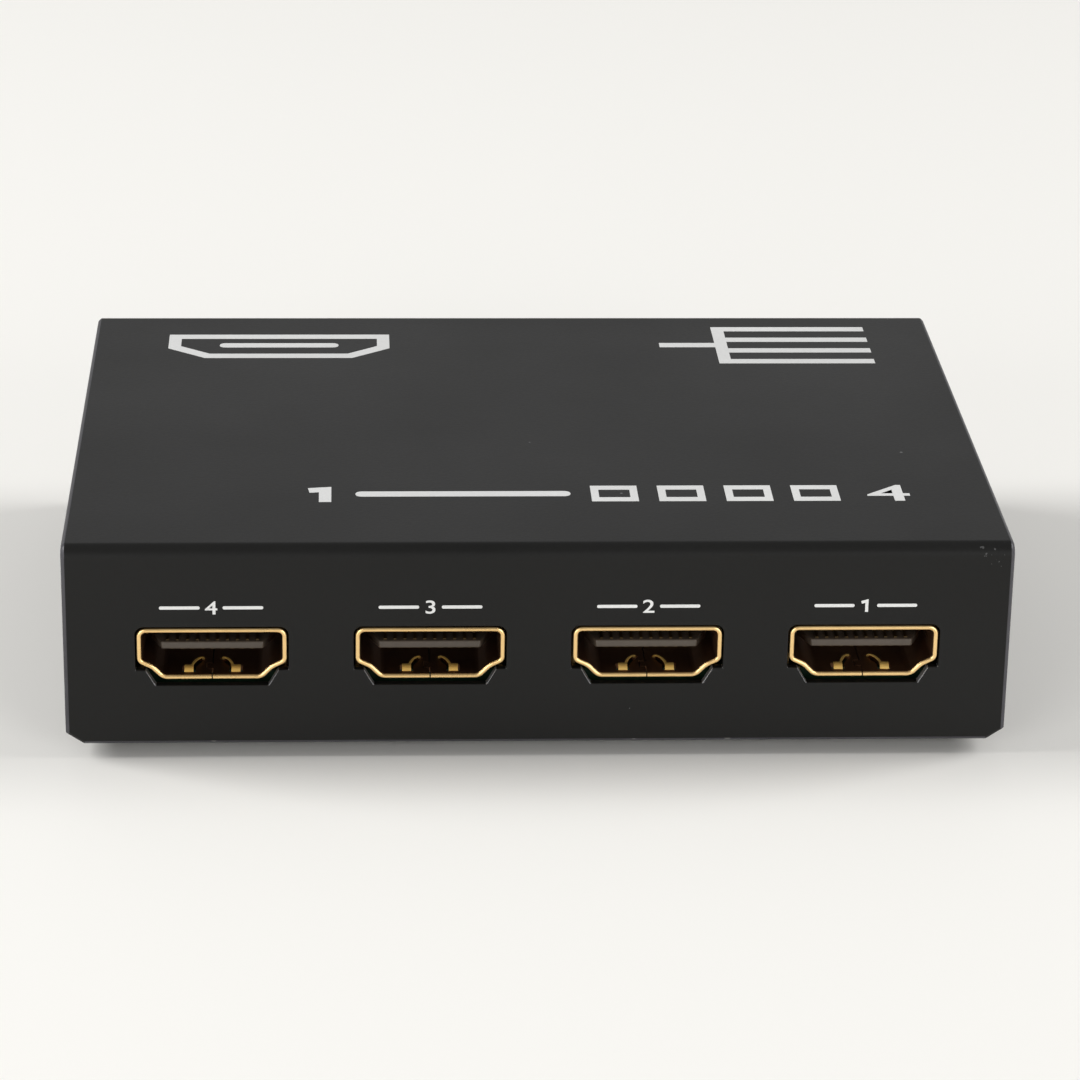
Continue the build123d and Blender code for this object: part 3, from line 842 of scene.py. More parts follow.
# Very dark gold for the contacts on the tongue: painted shade deep inside the socket, not the gold's own
# colour
CONTACT_GOLD_PAINTED_SHADE = Finish(
    "contact_gold", (0.09, 0.06, 0.027), (0.15, 0.102, 0.045), 0.42, metallic=1.0, drawn=True,
)
SOCKET_PLASTIC = Finish(
    "socket_plastic", (0.05, 0.039, 0.029), (0.08, 0.063, 0.047), 0.36, grain_scale=1600.0, bump=0.000008,
)
BLACK_PLASTIC = Finish(
    "moulded_black", (0.014, 0.014, 0.015), (0.022, 0.022, 0.023), 0.45, grain_scale=1400.0, bump=0.00001,
)
RUBBER = Finish(
    "foot_rubber", (0.012, 0.012, 0.012), (0.03, 0.03, 0.03), 0.82, specular=0.3, grain_scale=700.0,
    bump=0.00004,
)
SCREW_BLACK = Finish(
    "black_zinc", (0.06, 0.06, 0.065), (0.11, 0.11, 0.115), 0.3, metallic=1.0, grain_scale=900.0,
    bump=0.00001,
)
PLATED = Finish(
    "bright_plate", (0.6, 0.6, 0.58), (0.74, 0.74, 0.71), 0.26, metallic=1.0, drawn=True,
)
BRASS = Finish(
    "turned_brass", (0.62, 0.43, 0.17), (0.78, 0.57, 0.27), 0.3, metallic=1.0, drawn=True,
)
# The board's green, made much darker as painted shade where it shows through the gaps under the cover and
# the sockets
BOARD_AND_PAINTED_SHADE = Finish(
    "green_board", (0.002, 0.015, 0.0065), (0.004, 0.026, 0.011), 0.4, grain_scale=260.0, bump=0.00002,
    coat=0.1, speck_colour=(0.3, 0.25, 0.12), speck_scale=420.0, speck_size=0.22, speck_amount=0.12,
)
CHIP = Finish(
    "chip_moulding", (0.016, 0.016, 0.018), (0.03, 0.03, 0.032), 0.6, grain_scale=3000.0, bump=0.00001,
)
PAD = Finish(
    "soft_pad", (0.3, 0.36, 0.42), (0.36, 0.42, 0.48), 0.8, grain_scale=900.0, bump=0.00002,
)
SINK = Finish(
    "extruded_sink", (0.42, 0.43, 0.45), (0.52, 0.53, 0.55), 0.42, metallic=1.0, drawn=True,
)
CAN = Finish(
    "drawn_can", (0.66, 0.67, 0.69), (0.78, 0.79, 0.81), 0.25, metallic=1.0, drawn=True,
)
FERRITE = Finish(
    "ferrite", (0.03, 0.03, 0.032), (0.05, 0.05, 0.052), 0.7, grain_scale=1300.0, bump=0.00003,
)
CERAMIC = Finish(
    "fired_ceramic", (0.28, 0.19, 0.1), (0.36, 0.25, 0.14), 0.5, grain_scale=2000.0, bump=0.00001,
)
LAMP = Finish(
    "lamp_resin", (0.5, 0.03, 0.02), (0.62, 0.05, 0.035), 0.12, coat=0.4, grain_scale=800.0,
    transmission=0.35,
)
INK = Finish(
    "white_ink", (0.6, 0.6, 0.59), (0.74, 0.74, 0.73), 0.5, specular=0.3, grain_scale=3200.0, bump=0.00001,
)


class Palette:
    """Every material of the object, built once."""

    def __init__(self) -> None:
        """Builds the effects and the materials."""
        effects = Effects()
        finishes = (
            PAINT, RIM_WEAR_AND_HIGHLIGHT, CUT_EDGE, GOLD, GOLD_PAINTED_SHADE, FINGER_GOLD_PAINTED_HIGHLIGHT, CONTACT_GOLD_PAINTED_SHADE, SOCKET_PLASTIC,
            BLACK_PLASTIC, RUBBER, SCREW_BLACK, PLATED, BRASS, BOARD_AND_PAINTED_SHADE, CHIP, PAD, SINK, CAN, FERRITE, CERAMIC,
            LAMP, INK,
        )
        self.made = {finish.name: finish.build(effects) for finish in finishes}

    def __getitem__(self, finish: Finish) -> bpy.types.Material:
        """The material of a finish."""
        return self.made[finish.name]


@dataclass
class Assembly:
    """A sub-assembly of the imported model, with the materials that it's dressed in."""

    frame: dict
    palette: Palette

    def dress(self, piece: bpy.types.Object, *finishes: Finish) -> None:
        """Gives a piece its materials.

        Args:
            piece: the piece.
            finishes: its finishes, in order.
        """
        piece.data.materials.clear()
        for finish in finishes:
            piece.data.materials.append(self.palette[finish])

    def dress_node(self, node: str, finish: Finish) -> None:
        """Dresses a CAD node where it lies."""
        self.dress(self.frame["nodes"][node], finish)
        log.info("%s: dressed as %s", node, finish.name)

    def finish_node(self, node: str, rounding: float, segments: int, finish: Finish, slot: str) -> None:
        """Replaces a CAD node with a copy that has rounded edges and a finish.

        Args:
            node: the node's name.
            rounding: how far its rounded edges reach.
            segments: faces across a rounded edge.
            finish: its finish.
            slot: its material slot in the record; not used.
        """
        piece = merged_copy(node, self.frame)
        soften(piece, rounding * METRES, segments)
        self.dress(piece, finish)
        settle(piece, AS_IT_LIES, node)


# The case


@dataclass
class Case(Assembly):
    """Painted cover and tray, with their feet and screws."""

    rounding: float = 0.12
    rim_reach: float = 0.42  # how far the rim's worn paint, with its painted highlight, reaches in from the cover's outer rim
    sheet: float = 1.1
    cut_out_reach: float = 8.5  # height over the cover's foot below which a socket's cut-out slants
    slant: float = 0.3  # least share of a slanted face's direction that points to the side and up
    square_on: float = 0.999  # share from which a face points straight to the side
    printed_depth: float = 0.005  # what is this close to the cover's top or front is set back for the ink
    foot_side: float = 8.0
    foot_corner: float = 1.4
    foot_round: float = 0.45
    foot_margin: float = 0.9
    foot_hollow: float = 0.12
    screw_head: float = 2.8
    screw_height: float = 1.7
    # The head's dome: shares of its radius, and how far each lies below its top
    screw_dome: tuple[FlatPoint, ...] = ((0.0, 0.0), (0.45, 0.03), (0.72, 0.16), (0.9, 0.5), (1.0, 0.95))
    screw_chamfer: FlatPoint = (0.1, 0.08)
    screw_shank: float = 1.45
    screw_length: float = 5.0
    screw_turns: tuple[float, float] = (20.0, 65.0)  # degrees
    tip_share: float = 0.7
    thread_start: float = 0.3
    thread_pitch: float = 0.5
    thread_depth: float = 0.16
    recess_length: float = 3.0
    recess_width: float = 0.62
    recess_depth: float = 1.0

    def build(self) -> None:
        """Builds and dresses the case."""
        self.cover()
        self.finish_node("bottom_tray", self.rounding, 2, PAINT, "painted_steel")
        self.feet()
        self.screws()

    def cover(self) -> None:
        """The folded cover, with rounded edges, and along its outer rim a lighter, bluish worn paint that is
        partly a painted highlight and painted reflection.
        """
        low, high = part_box("top_cover")
        cover = merged_copy("top_cover", self.frame)
        self.sink_printed_faces(cover, low, high)
        soften(cover, self.rounding * METRES, 3)
        self.dress(cover, PAINT, RIM_WEAR_AND_HIGHLIGHT, CUT_EDGE)
        for face in cover.data.polygons:
            face.material_index = self.skin(face, low, high).value
        settle(cover, AS_IT_LIES, "top_cover")

    def skin(self, face: bpy.types.MeshPolygon, low: Vector, high: Vector) -> Skin:
        """What a face of the cover wears.

        Args:
            face: the face.
            low: the cover's lower corner.
            high: the cover's upper corner.

        Returns:
            Paint, the rim's worn paint with its painted highlight, or the bare sheet of a cut-out, whose
            slanted faces also carry a painted glint.
        """
        middle, reach = face.center, self.rim_reach * METRES
        on_end = min(middle.x - low.x, high.x - middle.x) < reach
        on_front_or_rear = min(middle.y - low.y, high.y - middle.y) < reach
        at_foot = middle.z - low.z < reach and on_front_or_rear
        # Rim faces wear the lighter edge paint: worn paint and a painted highlight
        if (on_end or at_foot) and abs(face.normal.x) < self.square_on:
            return Skin.RIM
        # Only the upward slanted faces of the cut-outs get the lighter bare sheet: a bare edge and a painted
        # glint
        slanted = abs(face.normal.x) > self.slant and face.normal.z > self.slant
        in_front = middle.y < low.y + self.sheet * METRES
        if slanted and in_front and middle.z < low.z + self.cut_out_reach * METRES:
            return Skin.CUT_EDGE
        return Skin.PAINT

    def sink_printed_faces(self, cover: bpy.types.Object, low: Vector, high: Vector) -> None:
        """Sets the cover's top and front back by the ink's thickness, so that the print stays in the box.

        Args:
            cover: the cover, in metres.
            low: its lower corner.
            high: its upper corner.
        """
        depth = self.printed_depth * METRES
        for vertex in cover.data.vertices:
            if vertex.co.z > high.z - depth:
                vertex.co.z -= INK_FILM * METRES
            if vertex.co.y < low.y + depth:
                vertex.co.y += INK_FILM * METRES

    def feet(self) -> None:
        """Four stick-on feet with rounded corners and a slightly hollow underside."""
        low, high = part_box("rubber_feet")
        half, height = self.foot_side / 2, (high.z - low.z) / METRES
        foot = block("foot", (-half, -half, 0), (half, half, height))
        with editing(foot):
            choose(foot, Pick.EDGE, lambda middle: on(abs(middle.x), half) and on(abs(middle.y), half))
            bpy.ops.mesh.bevel(offset=self.foot_corner, segments=6, affect="EDGES")
            choose(foot, Pick.EDGE, lambda middle: on(middle.z, 0))
            bpy.ops.mesh.bevel(offset=self.foot_round, segments=3, affect="EDGES")
            choose(foot, Pick.FACE, lambda middle: on(middle.z, 0))
            bpy.ops.mesh.inset(thickness=self.foot_margin)
            bpy.ops.transform.translate(value=(0, 0, self.foot_hollow))
        smooth(foot)
        places = [
            Matrix.Translation((x, y, 0))
            for x in (low.x / METRES + half, high.x / METRES - half)
            for y in (low.y / METRES + half, high.y / METRES - half)
        ]
        feet = repeated(foot, places, "stick_on_feet")
        self.dress(feet, RUBBER)
        settle(feet, Matrix.Identity(4), "rubber_feet")

    def screws(self) -> None:
        """Two pan head screws with a cross recess and thread ridges, heads to the rear."""
        low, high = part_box("cover_screws")
        radius, height = self.screw_head, self.screw_height
        half, width = self.recess_length / 2, self.recess_width / 2
        floor, top = height - self.recess_depth, height + BEYOND
        screw = lathe("screw", self.screw_profile())
        cut(screw, block("slot_a", (-half, -width, floor), (half, width, top)))
        cut(screw, block("slot_b", (-width, -half, floor), (width, half, top)))
        rear_panel = high.y / METRES - height
        middle_height = (low.z + high.z) / 2 / METRES
        ends = (low.x / METRES + radius, high.x / METRES - radius)
        places = [
            Matrix.Translation((x, rear_panel, middle_height)) @ turned(-90, "X") @ turned(turn, "Z")
            for x, turn in zip(ends, self.screw_turns)
        ]
        screws = repeated(screw, places, "rear_screws")
        self.dress(screws, SCREW_BLACK)
        settle(screws, Matrix.Identity(4), "cover_screws")

    def screw_profile(self) -> list[FlatPoint]:
        """Half a screw's outline, from the top of its head to its tip.

        Returns:
            Pairs of radius and height over the head's underside.
        """
        radius, height, shank = self.screw_head, self.screw_height, self.screw_shank
        side, rise = self.screw_chamfer
        profile = [(radius * share, height - drop) for share, drop in self.screw_dome]
        profile += [(radius, rise), (radius - side, 0), (shank, 0)]
        for turn in range(int(self.screw_length / self.thread_pitch) - 1):
            depth = -self.thread_start - turn * self.thread_pitch
            profile += [(shank - self.thread_depth, depth), (shank, depth - self.thread_pitch / 2)]
        return profile + [(shank * self.tip_share, -self.screw_length), (0, -self.screw_length)]


# The video sockets


@dataclass
class VideoSocket(Assembly):
    """A folded gold shell, its moulded tongue and its contacts.

    Local axes: the mouth is at Y 0, and Z starts at the shell's underside.
    """

    width: float = 15.0
    height: float = 5.55
    length: float = 12.0
    wall: float = 0.5
    shoulder: float = 1.8
    waist_width: float = 12.2
    waist: float = 1.13
    foot_width: float = 10.0
    corner: float = 0.95
    lower_rounds: float = 0.5
    waist_round: float = 0.28
    lip: float = 0.22
    lip_share: float = 1.5  # how many lips deep the lit gold reaches into the mouth, before the darker gold of painted shade
    inward: float = -0.3  # a face that points in by more than this is inside
    block_front: float = 8.6
    window_half: float = 0.68
    window_run: Span = (0.75, 2.3)
    slot_half: float = 0.32
    slot_half_length: float = 1.25
    slot_middle: FlatPoint = (1.5, 3.15)
    slot_turn: float = 26.0  # degrees
    notch_half: float = 4.85
    floor_overcut: float = 0.2
    seam_half: float = 0.06
    tail_run: Span = (1.64, 2.96)  # where the dovetail of the seam starts and ends
    tail_reach: float = 0.6
    seam_overlap: float = 0.1
    finger_offset: float = 2.35
    # The crest's line: depth from the mouth, and height over the shell's floor
    crest_line: tuple[FlatPoint, ...] = (
        (0.9, -0.2), (1.05, 0.08), (1.25, 0.25), (1.48, 0.31), (1.7, 0.3), (1.9, 0.22),
    )
    crest_width: float = 0.92
    crest_sheet: float = 0.18
    # The arm's line: distance from the middle, depth from the mouth, and height over the shell's floor
    arm_line: tuple[Point, ...] = (
        (2.05, 1.78, 0.27), (1.9, 2.3, 0.34), (1.68, 2.85, 0.38), (1.42, 3.3, 0.38), (1.18, 3.62, 0.32),
        (1.04, 3.84, 0.2), (1.0, 4.0, 0.03), (1.0, 4.25, -0.12),
    )
    arm_width: float = 0.25
    arm_sheet: float = 0.16
    leg_depths: tuple[float, float] = (4.6, 9.5)
    leg_half_sheet: float = 0.25
    leg_half_width: float = 0.65
    leg_drop: float = 2.4
    leg_rise: float = 0.9  # over the shell's shoulder
    leg_round: float = 0.08
    insulator_round: float = 0.16

    def build(self) -> None:
        """Models one shell, copies it to every socket, and finishes the insulators and contacts."""
        shell = self.shell()
        for name in SOCKETS:
            copy = twin(shell, f"{name}_folded_shell")
            settle(copy, self.place(name), f"{name}_shell")
            insulator = f"{name}_insulator"
            self.finish_node(insulator, self.insulator_round, 3, SOCKET_PLASTIC, "black_moulding")
            # The contacts wear the very dark gold, a painted shade inside the mouth
            self.dress_node(f"{name}_contacts", CONTACT_GOLD_PAINTED_SHADE)
        bpy.data.objects.remove(shell, do_unlink=True)

    def place(self, name: str) -> Matrix:
        """Where a socket's local axes stand, in metres. The input faces the rear.

        Args:
            name: the socket.

        Returns:
            The place.
        """
        low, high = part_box(f"{name}_shell")
        middle = (low.x + high.x) / 2
        floor = high.z - self.height * METRES
        if name in OUTPUTS:
            return Matrix.Translation((middle, low.y, floor))
        return Matrix.Translation((middle, high.y, floor)) @ turned(180, "Z")

    def shell(self) -> bpy.types.Object:
        """The folded shell, with its rounded lip, seam, windows, spring fingers and legs.

        Returns:
            The shell in its local axes.
        """
        sleeve = self.sleeve()
        self.open_floor(sleeve)
        self.cut_seam(sleeve)
        shade(sleeve)
        self.gild(sleeve)
        parts = [sleeve]
        for side in (-1, 1):
            fingers = self.finger(side)
            legs = [self.leg(side, depth) for depth in self.leg_depths]
            # The fingers wear the brighter gold, a painted highlight
            for piece in fingers:
                self.dress(piece, FINGER_GOLD_PAINTED_HIGHLIGHT)
            for piece in legs:
                self.dress(piece, GOLD)
            parts += fingers + legs
        return joined(parts, "folded_shell")

    def sleeve(self) -> bpy.types.Object:
        """The closed outline of the shell, bent from sheet, with a round lip at the mouth.

        Returns:
            The sleeve.
        """
        half, foot, waist = self.width / 2, self.foot_width / 2, self.waist_width / 2
        right = [(half, self.height), (half, self.shoulder), (waist, self.waist), (foot, 0)]
        outline = right + [(-x, z) for x, z in reversed(right)]
        deselect()
        bpy.ops.mesh.primitive_circle_add(vertices=len(outline), fill_type="NGON")
        sleeve = added("sleeve")
        for vertex, (x, z) in zip(sleeve.data.vertices, outline):
            vertex.co = (x, 0, z)
        rounds = (self.corner, self.lower_rounds, self.waist_round, self.lower_rounds)
        with editing(sleeve):
            for (x, z), offset in zip(right, rounds):
                choose(sleeve, Pick.VERTEX, lambda co: on(abs(co.x), x) and on(co.z, z))
                bpy.ops.mesh.bevel(offset=offset, segments=7, affect="VERTICES")
            bpy.ops.mesh.select_mode(type="FACE")
            bpy.ops.mesh.select_all(action="SELECT")
            bpy.ops.mesh.delete(type="ONLY_FACE")
            bpy.ops.mesh.select_mode(type="EDGE")
            bpy.ops.mesh.select_all(action="SELECT")
            bpy.ops.mesh.extrude_edges_move(TRANSFORM_OT_translate={"value": (0, self.length, 0)})
            bpy.ops.mesh.select_all(action="SELECT")
            bpy.ops.mesh.normals_make_consistent(inside=False)
        thicken(sleeve, self.wall, -1.0)
        with editing(sleeve):
            choose(sleeve, Pick.FACE, lambda middle: on(middle.y, 0))
            bpy.ops.mesh.region_to_loop()
            bpy.ops.mesh.bevel(offset=self.lip, segments=4, affect="EDGES")
        return sleeve

    def open_floor(self, sleeve: bpy.types.Object) -> None:
        """Cuts the windows under the fingers, the slots along their arms, and the rear of the floor.

        Args:
            sleeve: the sleeve.
        """
        top = self.wall + self.floor_overcut
        near, far = self.window_run
        along, depth = self.slot_middle
        for side in (-1, 1):
            x, half = side * self.finger_offset, self.window_half
            cut(sleeve, block("window", (x - half, near, -BEYOND), (x + half, far, top)))
            slot = block(
                "arm_slot",
                (-self.slot_half, -self.slot_half_length, -BEYOND),
                (self.slot_half, self.slot_half_length, top),
            )
            place = Matrix.Translation((side * along, depth, 0))
            slot.data.transform(place @ turned(side * self.slot_turn, "Z"))
            cut(sleeve, slot)
        low = (-self.notch_half, self.block_front, -BEYOND)
        cut(sleeve, block("notch", low, (self.notch_half, self.length + BEYOND, top)))

    def cut_seam(self, sleeve: bpy.types.Object) -> None:
        """Cuts the seam along the floor's middle, with its square dovetail.

        Args:
            sleeve: the sleeve.
        """
        half, reach = self.seam_half, self.tail_reach
        near, far = self.tail_run
        runs = (
            ((-half, -BEYOND), (half, near + half)),
            ((-reach, near - half), (half, near + half)),
            ((-reach - half, near - half), (half - reach, far + half)),
            ((-reach, far - half), (half, far + half)),
            ((-half, far - half), (half, self.block_front + self.seam_overlap)),
        )
        for low, high in runs:
            cut(sleeve, block("seam", (*low, -BEYOND), (*high, BEYOND)))

    def gild(self, sleeve: bpy.types.Object) -> None:
        """Gives the sleeve its gold, with a darker gold on the faces that point in as painted shade inside
        the mouth.

        Args:
            sleeve: the sleeve.
        """
        self.dress(sleeve, GOLD, GOLD_PAINTED_SHADE)
        axis, painted_shade_slot = Vector((0, 0, self.height / 2)), 1
        for face in sleeve.data.polygons:
            inward = axis - face.center
            inward.y = 0
            behind_lip = face.center.y > self.lip * self.lip_share
            # Faces behind the lip that point in get the darker gold, a painted shade
            if behind_lip and face.normal.dot(inward.normalized()) > self.inward:
                face.material_index = painted_shade_slot

    def finger(self, side: int) -> list[bpy.types.Object]:
        """One spring finger: a crest near the mouth, and a narrow arm that curves in to its root; their
        brightness is a painted highlight in the gold they wear.

        Args:
            side: -1 for the left finger, 1 for the right one.

        Returns:
            The crest and the arm.
        """
        x = side * self.finger_offset
        crest = [(x, depth, self.wall + rise) for depth, rise in self.crest_line]
        arm = [(side * along, depth, self.wall + rise) for along, depth, rise in self.arm_line]
        return [
            strip("crest", crest, self.crest_width, self.crest_sheet),
            strip("arm", arm, self.arm_width, self.arm_sheet),
        ]

    def leg(self, side: int, depth: float) -> bpy.types.Object:
        """One leg that goes through the board.

        Args:
            side: -1 for the left side, 1 for the right one.
            depth: how far behind the mouth its middle is.

        Returns:
            The leg.
        """
        x = side * (self.width - self.wall) / 2
        sheet, width = self.leg_half_sheet, self.leg_half_width
        top = self.shoulder + self.leg_rise
        leg = block("leg", (x - sheet, depth - width, -self.leg_drop), (x + sheet, depth + width, top))
        soften(leg, self.leg_round, 2)
        return leg


# Power jack and light


@dataclass
class PowerInlet(Assembly):
    """The barrel jack and the power light in the rear panel."""

    housing_round: float = 0.12
    pin_round: float = 0.2
    lens_radius: float = 1.5
    flange_radius: float = 1.9
    flange_length: float = 0.9
    dome: float = 0.9
    dome_steps: int = 8

    def build(self) -> None:
        """Builds and dresses the inlet."""
        self.finish_node("power_jack_housing", self.housing_round, 2, BLACK_PLASTIC, "black_moulding")
        self.finish_node("power_jack_pin", self.pin_round, 3, PLATED, "plated_steel")
        for node in ("power_jack_spring", "power_light_leads"):
            self.dress_node(node, PLATED)
        self.lens()

    def lens(self) -> None:
        """The lamp's clear body, domed at its tip."""
        low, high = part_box("power_light_lens")
        length = (high.y - low.y) / METRES
        tip = length - self.dome
        angles = [math.pi / 2 * step / self.dome_steps for step in range(self.dome_steps)]
        arc = [
            (self.lens_radius * math.cos(angle), tip + self.dome * math.sin(angle)) for angle in angles
        ]
        flange = [(self.flange_radius, 0), (self.flange_radius, self.flange_length)]
        barrel = (self.lens_radius, self.flange_length)
        lens = lathe("lamp_lens", [(0, 0), *flange, barrel, *arc, (0, length)])
        middle = (low + high) / 2
        self.dress(lens, LAMP)
        place = Matrix.Translation((middle.x, low.y, middle.z)) @ turned(-90, "X")
        settle(lens, place, "power_light_lens")


# The board


class BoardAssembly(Assembly):
    """The circuit board and what stands on it, dressed where it lies."""

    FINISHES = {
        # The board wears its green darkened by painted shade
        "circuit_board": BOARD_AND_PAINTED_SHADE,
        "board_standoffs": BRASS,
        "board_screws": PLATED,
        "splitter_chip": CHIP,
        "thermal_pad": PAD,
        "heat_sink": SINK,
        "clock_crystal": CAN,
        "power_inductor": FERRITE,
        "regulator_body": CHIP,
        "regulator_leads": PLATED,
        "memory_chip_body": CHIP,
        "memory_chip_leads": PLATED,
        "capacitor_bases": CHIP,
        "capacitor_cans": CAN,
        "input_fuse": CERAMIC,
        "surge_arrays": CHIP,
        "chip_capacitors": CERAMIC,
        "chip_resistors": CHIP,
    }

    def build(self) -> None:
        """Dresses every node of the board."""
        for node, finish in self.FINISHES.items():
            self.dress_node(node, finish)


# White print


@dataclass
class Print(Assembly):
    """Plain numbers and plain marks in white ink, drawn flat and then laid on the front and the top."""

    digit_share: float = 0.7  # a digit's height as a share of its typeface's size
    boldness: float = 0.012  # how much a digit's strokes are widened, as a share of its height
    flag_share: float = 0.26  # the flag of a one, as a share of its height
    flag_stretch: float = 1.5
    cap_share: float = 0.7  # how far a one's corner stays under its height, in strokes
    one_stroke_share: float = 0.9
    one_shift: float = 0.1
    bar_round_share: float = 0.9
    number_height: float = 1.4
    number_stretch: float = 1.3
    label_height: float = 16.45  # above the table, to the middle of a number
    rule_length: float = 3.7
    rule_gap: float = 1.3
    rule_width: float = 0.34
    mark_stroke: float = 1.4
    outline_middle: FlatPoint = (-26.7, 23.4)
    outline_size: FlatPoint = (23.4, 6.4)
    outline_foot_share: float = 0.68
    outline_shoulder_share: float = 0.1
    tongue_share: float = 0.75
    tongue_lift: float = 0.3
    fork_start: FlatPoint = (16.2, 23.7)
    fork_length: float = 7.0
    branch_end: float = 40.0
    branch_pitch: float = 3.6
    row_height: float = -21.75
    row_size: float = 4.3
    row_stretch: float = 1.5
    row_one: float = -21.4
    row_rule: Span = (-17.6, 3.0)
    row_box: float = 8.2
    row_box_pitch: float = 6.9
    row_last: float = 36.4
    box_half: float = 2.4
    box_side: float = 0.8
    box_rail: float = 1.1

    def build(self) -> None:
        """Prints the front panel and the top."""
        low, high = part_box("top_cover")
        half_film = INK_FILM * METRES / 2
        labels = [self.label(name, str(number)) for number, name in enumerate(OUTPUTS, 1)]
        front_face = Matrix.Translation((0, low.y + half_film, 0)) @ turned(90, "X")
        top_face = Matrix.Translation((0, 0, high.z - half_film))
        marks = [self.socket_outline(), self.fork(), *self.row()]
        for parts, name, face in ((labels, "front_numbers", front_face), (marks, "top_marks", top_face)):
            sheet = joined(parts, name)
            self.dress(sheet, INK)
            settle(sheet, face, None)

    def film(self, name: str, low: FlatPoint, high: FlatPoint) -> bpy.types.Object:
        """A plain rectangle of ink between two corners on the flat sheet."""
        return block(name, (*low, -INK_FILM / 2), (*high, INK_FILM / 2))

    def number(self, text: str, x: float, y: float, height: float, stretch: float) -> bpy.types.Object:
        """One plain number.

        Args:
            text: its digits.
            x: the middle's place across.
            y: the middle's place up the sheet.
            height: how tall it is.
            stretch: how much wider it is than the plain typeface.

        Returns:
            The number as a mesh.
        """
        deselect()
        bpy.ops.object.text_add(location=(0, 0, 0))
        number = bpy.context.active_object
        number.data.body = text
        number.data.size = height / self.digit_share
        number.data.offset = height * self.boldness
        number.data.extrude = INK_FILM / 2
        bpy.ops.object.convert(target="MESH")
        number = bpy.context.active_object
        corners = [Vector(corner) for corner in number.bound_box]
        middle = sum(corners, Vector()) / len(corners)
        stretched = Matrix.Diagonal((stretch, 1, 1, 1))
        number.data.transform(Matrix.Translation((x, y, 0)) @ stretched @ Matrix.Translation(-middle))
        return number

    def one(self, x: float, y: float, height: float, width: float) -> bpy.types.Object:
        """The number one, drawn as a stem with a flag.

        Args:
            x: the stem's place across.
            y: the middle's place up the sheet.
            height: how tall it is.
            width: the stroke of the rule beside it.

        Returns:
            The number.
        """
        stroke = width * self.one_stroke_share
        top, flag = y + height / 2, height * self.flag_share
        points = [
            (x - flag * self.flag_stretch, top - flag),
            (x, top - stroke * self.cap_share),
            (x, y - height / 2),
        ]
        return self.stroke(points, stroke)

    def bar(self, start: float, end: float, y: float, width: float) -> bpy.types.Object:
        """A straight bar of ink with round ends, across the flat sheet.

        Args:
            start: where its first end lies.
            end: where its other end lies, on either side.
            y: its place up the sheet.
            width: its width.

        Returns:
            The bar.
        """
        half, length = width / 2, abs(end - start)
        bar = self.film("bar", (-half, -half), (length + half, half))
        with editing(bar):
            choose(bar, Pick.EDGE, lambda middle: on(middle.z, 0) and on(abs(middle.y), half))
            bpy.ops.mesh.bevel(offset=half * self.bar_round_share, segments=4, affect="EDGES")
        way = Matrix.Identity(4) if end > start else turned(180, "Z")
        bar.data.transform(Matrix.Translation((start, y, 0)) @ way)
        return bar

    def stroke(self, points: Sequence[FlatPoint], width: float, closed: bool = False) -> bpy.types.Object:
        """A line of ink with mitred corners.

        Args:
            points: its corners on the flat sheet.
            width: its width.
            closed: whether it returns to its first corner.

        Returns:
            The line.
        """
        stroke = path_line("stroke", [(x, y, -INK_FILM / 2) for x, y in points], closed)
        with editing(stroke):
            bpy.ops.mesh.extrude_edges_move(TRANSFORM_OT_translate={"value": (0, 0, INK_FILM)})
        thicken(stroke, width)
        return stroke

    def label(self, name: str, text: str) -> bpy.types.Object:
        """A socket's number between two short rules, over its middle.

        Args:
            name: the socket.
            text: its number.

        Returns:
            The label.
        """
        low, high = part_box(f"{name}_shell")
        x, y = (low.x + high.x) / 2 / METRES, self.label_height
        if text == "1":
            parts = [self.one(x + self.one_shift, y, self.number_height, self.rule_width)]
        else:
            parts = [self.number(text, x, y, self.number_height, self.number_stretch)]
        for side in (-1, 1):
            start = x + side * self.rule_gap
            parts.append(self.bar(start, start + side * self.rule_length, y, self.rule_width))
        return joined(parts, f"label_{text}")

    def socket_outline(self) -> bpy.types.Object:
        """A plain outline of a socket's mouth, with its tongue as a bar.

        Returns:
            The mark.
        """
        x, y = self.outline_middle
        half_width, half_height = (size / 2 for size in self.outline_size)
        foot = half_width * self.outline_foot_share
        shoulder = y - half_height * self.outline_shoulder_share
        tongue, middle = foot * self.tongue_share, y + self.tongue_lift
        points = [
            (x - foot, y - half_height), (x - half_width, shoulder), (x - half_width, y + half_height),
            (x + half_width, y + half_height), (x + half_width, shoulder), (x + foot, y - half_height),
        ]
        outline = self.stroke(points, self.mark_stroke, closed=True)
        bar = self.bar(x - tongue, x + tongue, middle, self.mark_stroke)
        return joined([outline, bar], "socket_outline")

    def fork(self) -> bpy.types.Object:
        """One line that becomes four, with butted joints.

        Returns:
            The mark.
        """
        x, y = self.fork_start
        split, half, end = x + self.fork_length, self.mark_stroke / 2, self.branch_end
        middle_step = (len(OUTPUTS) - 1) / 2
        heights = [y + (step - middle_step) * self.branch_pitch for step in range(len(OUTPUTS))]
        first, *inner, last = heights
        parts = [self.stroke([(end, first), (split, first), (split, last), (end, last)], self.mark_stroke)]
        runs = [(x, split - half, y)] + [(split + half, end, height) for height in inner]
        parts += [self.film("bar", (near, at - half), (far, at + half)) for near, far, at in runs]
        return joined(parts, "one_to_four")

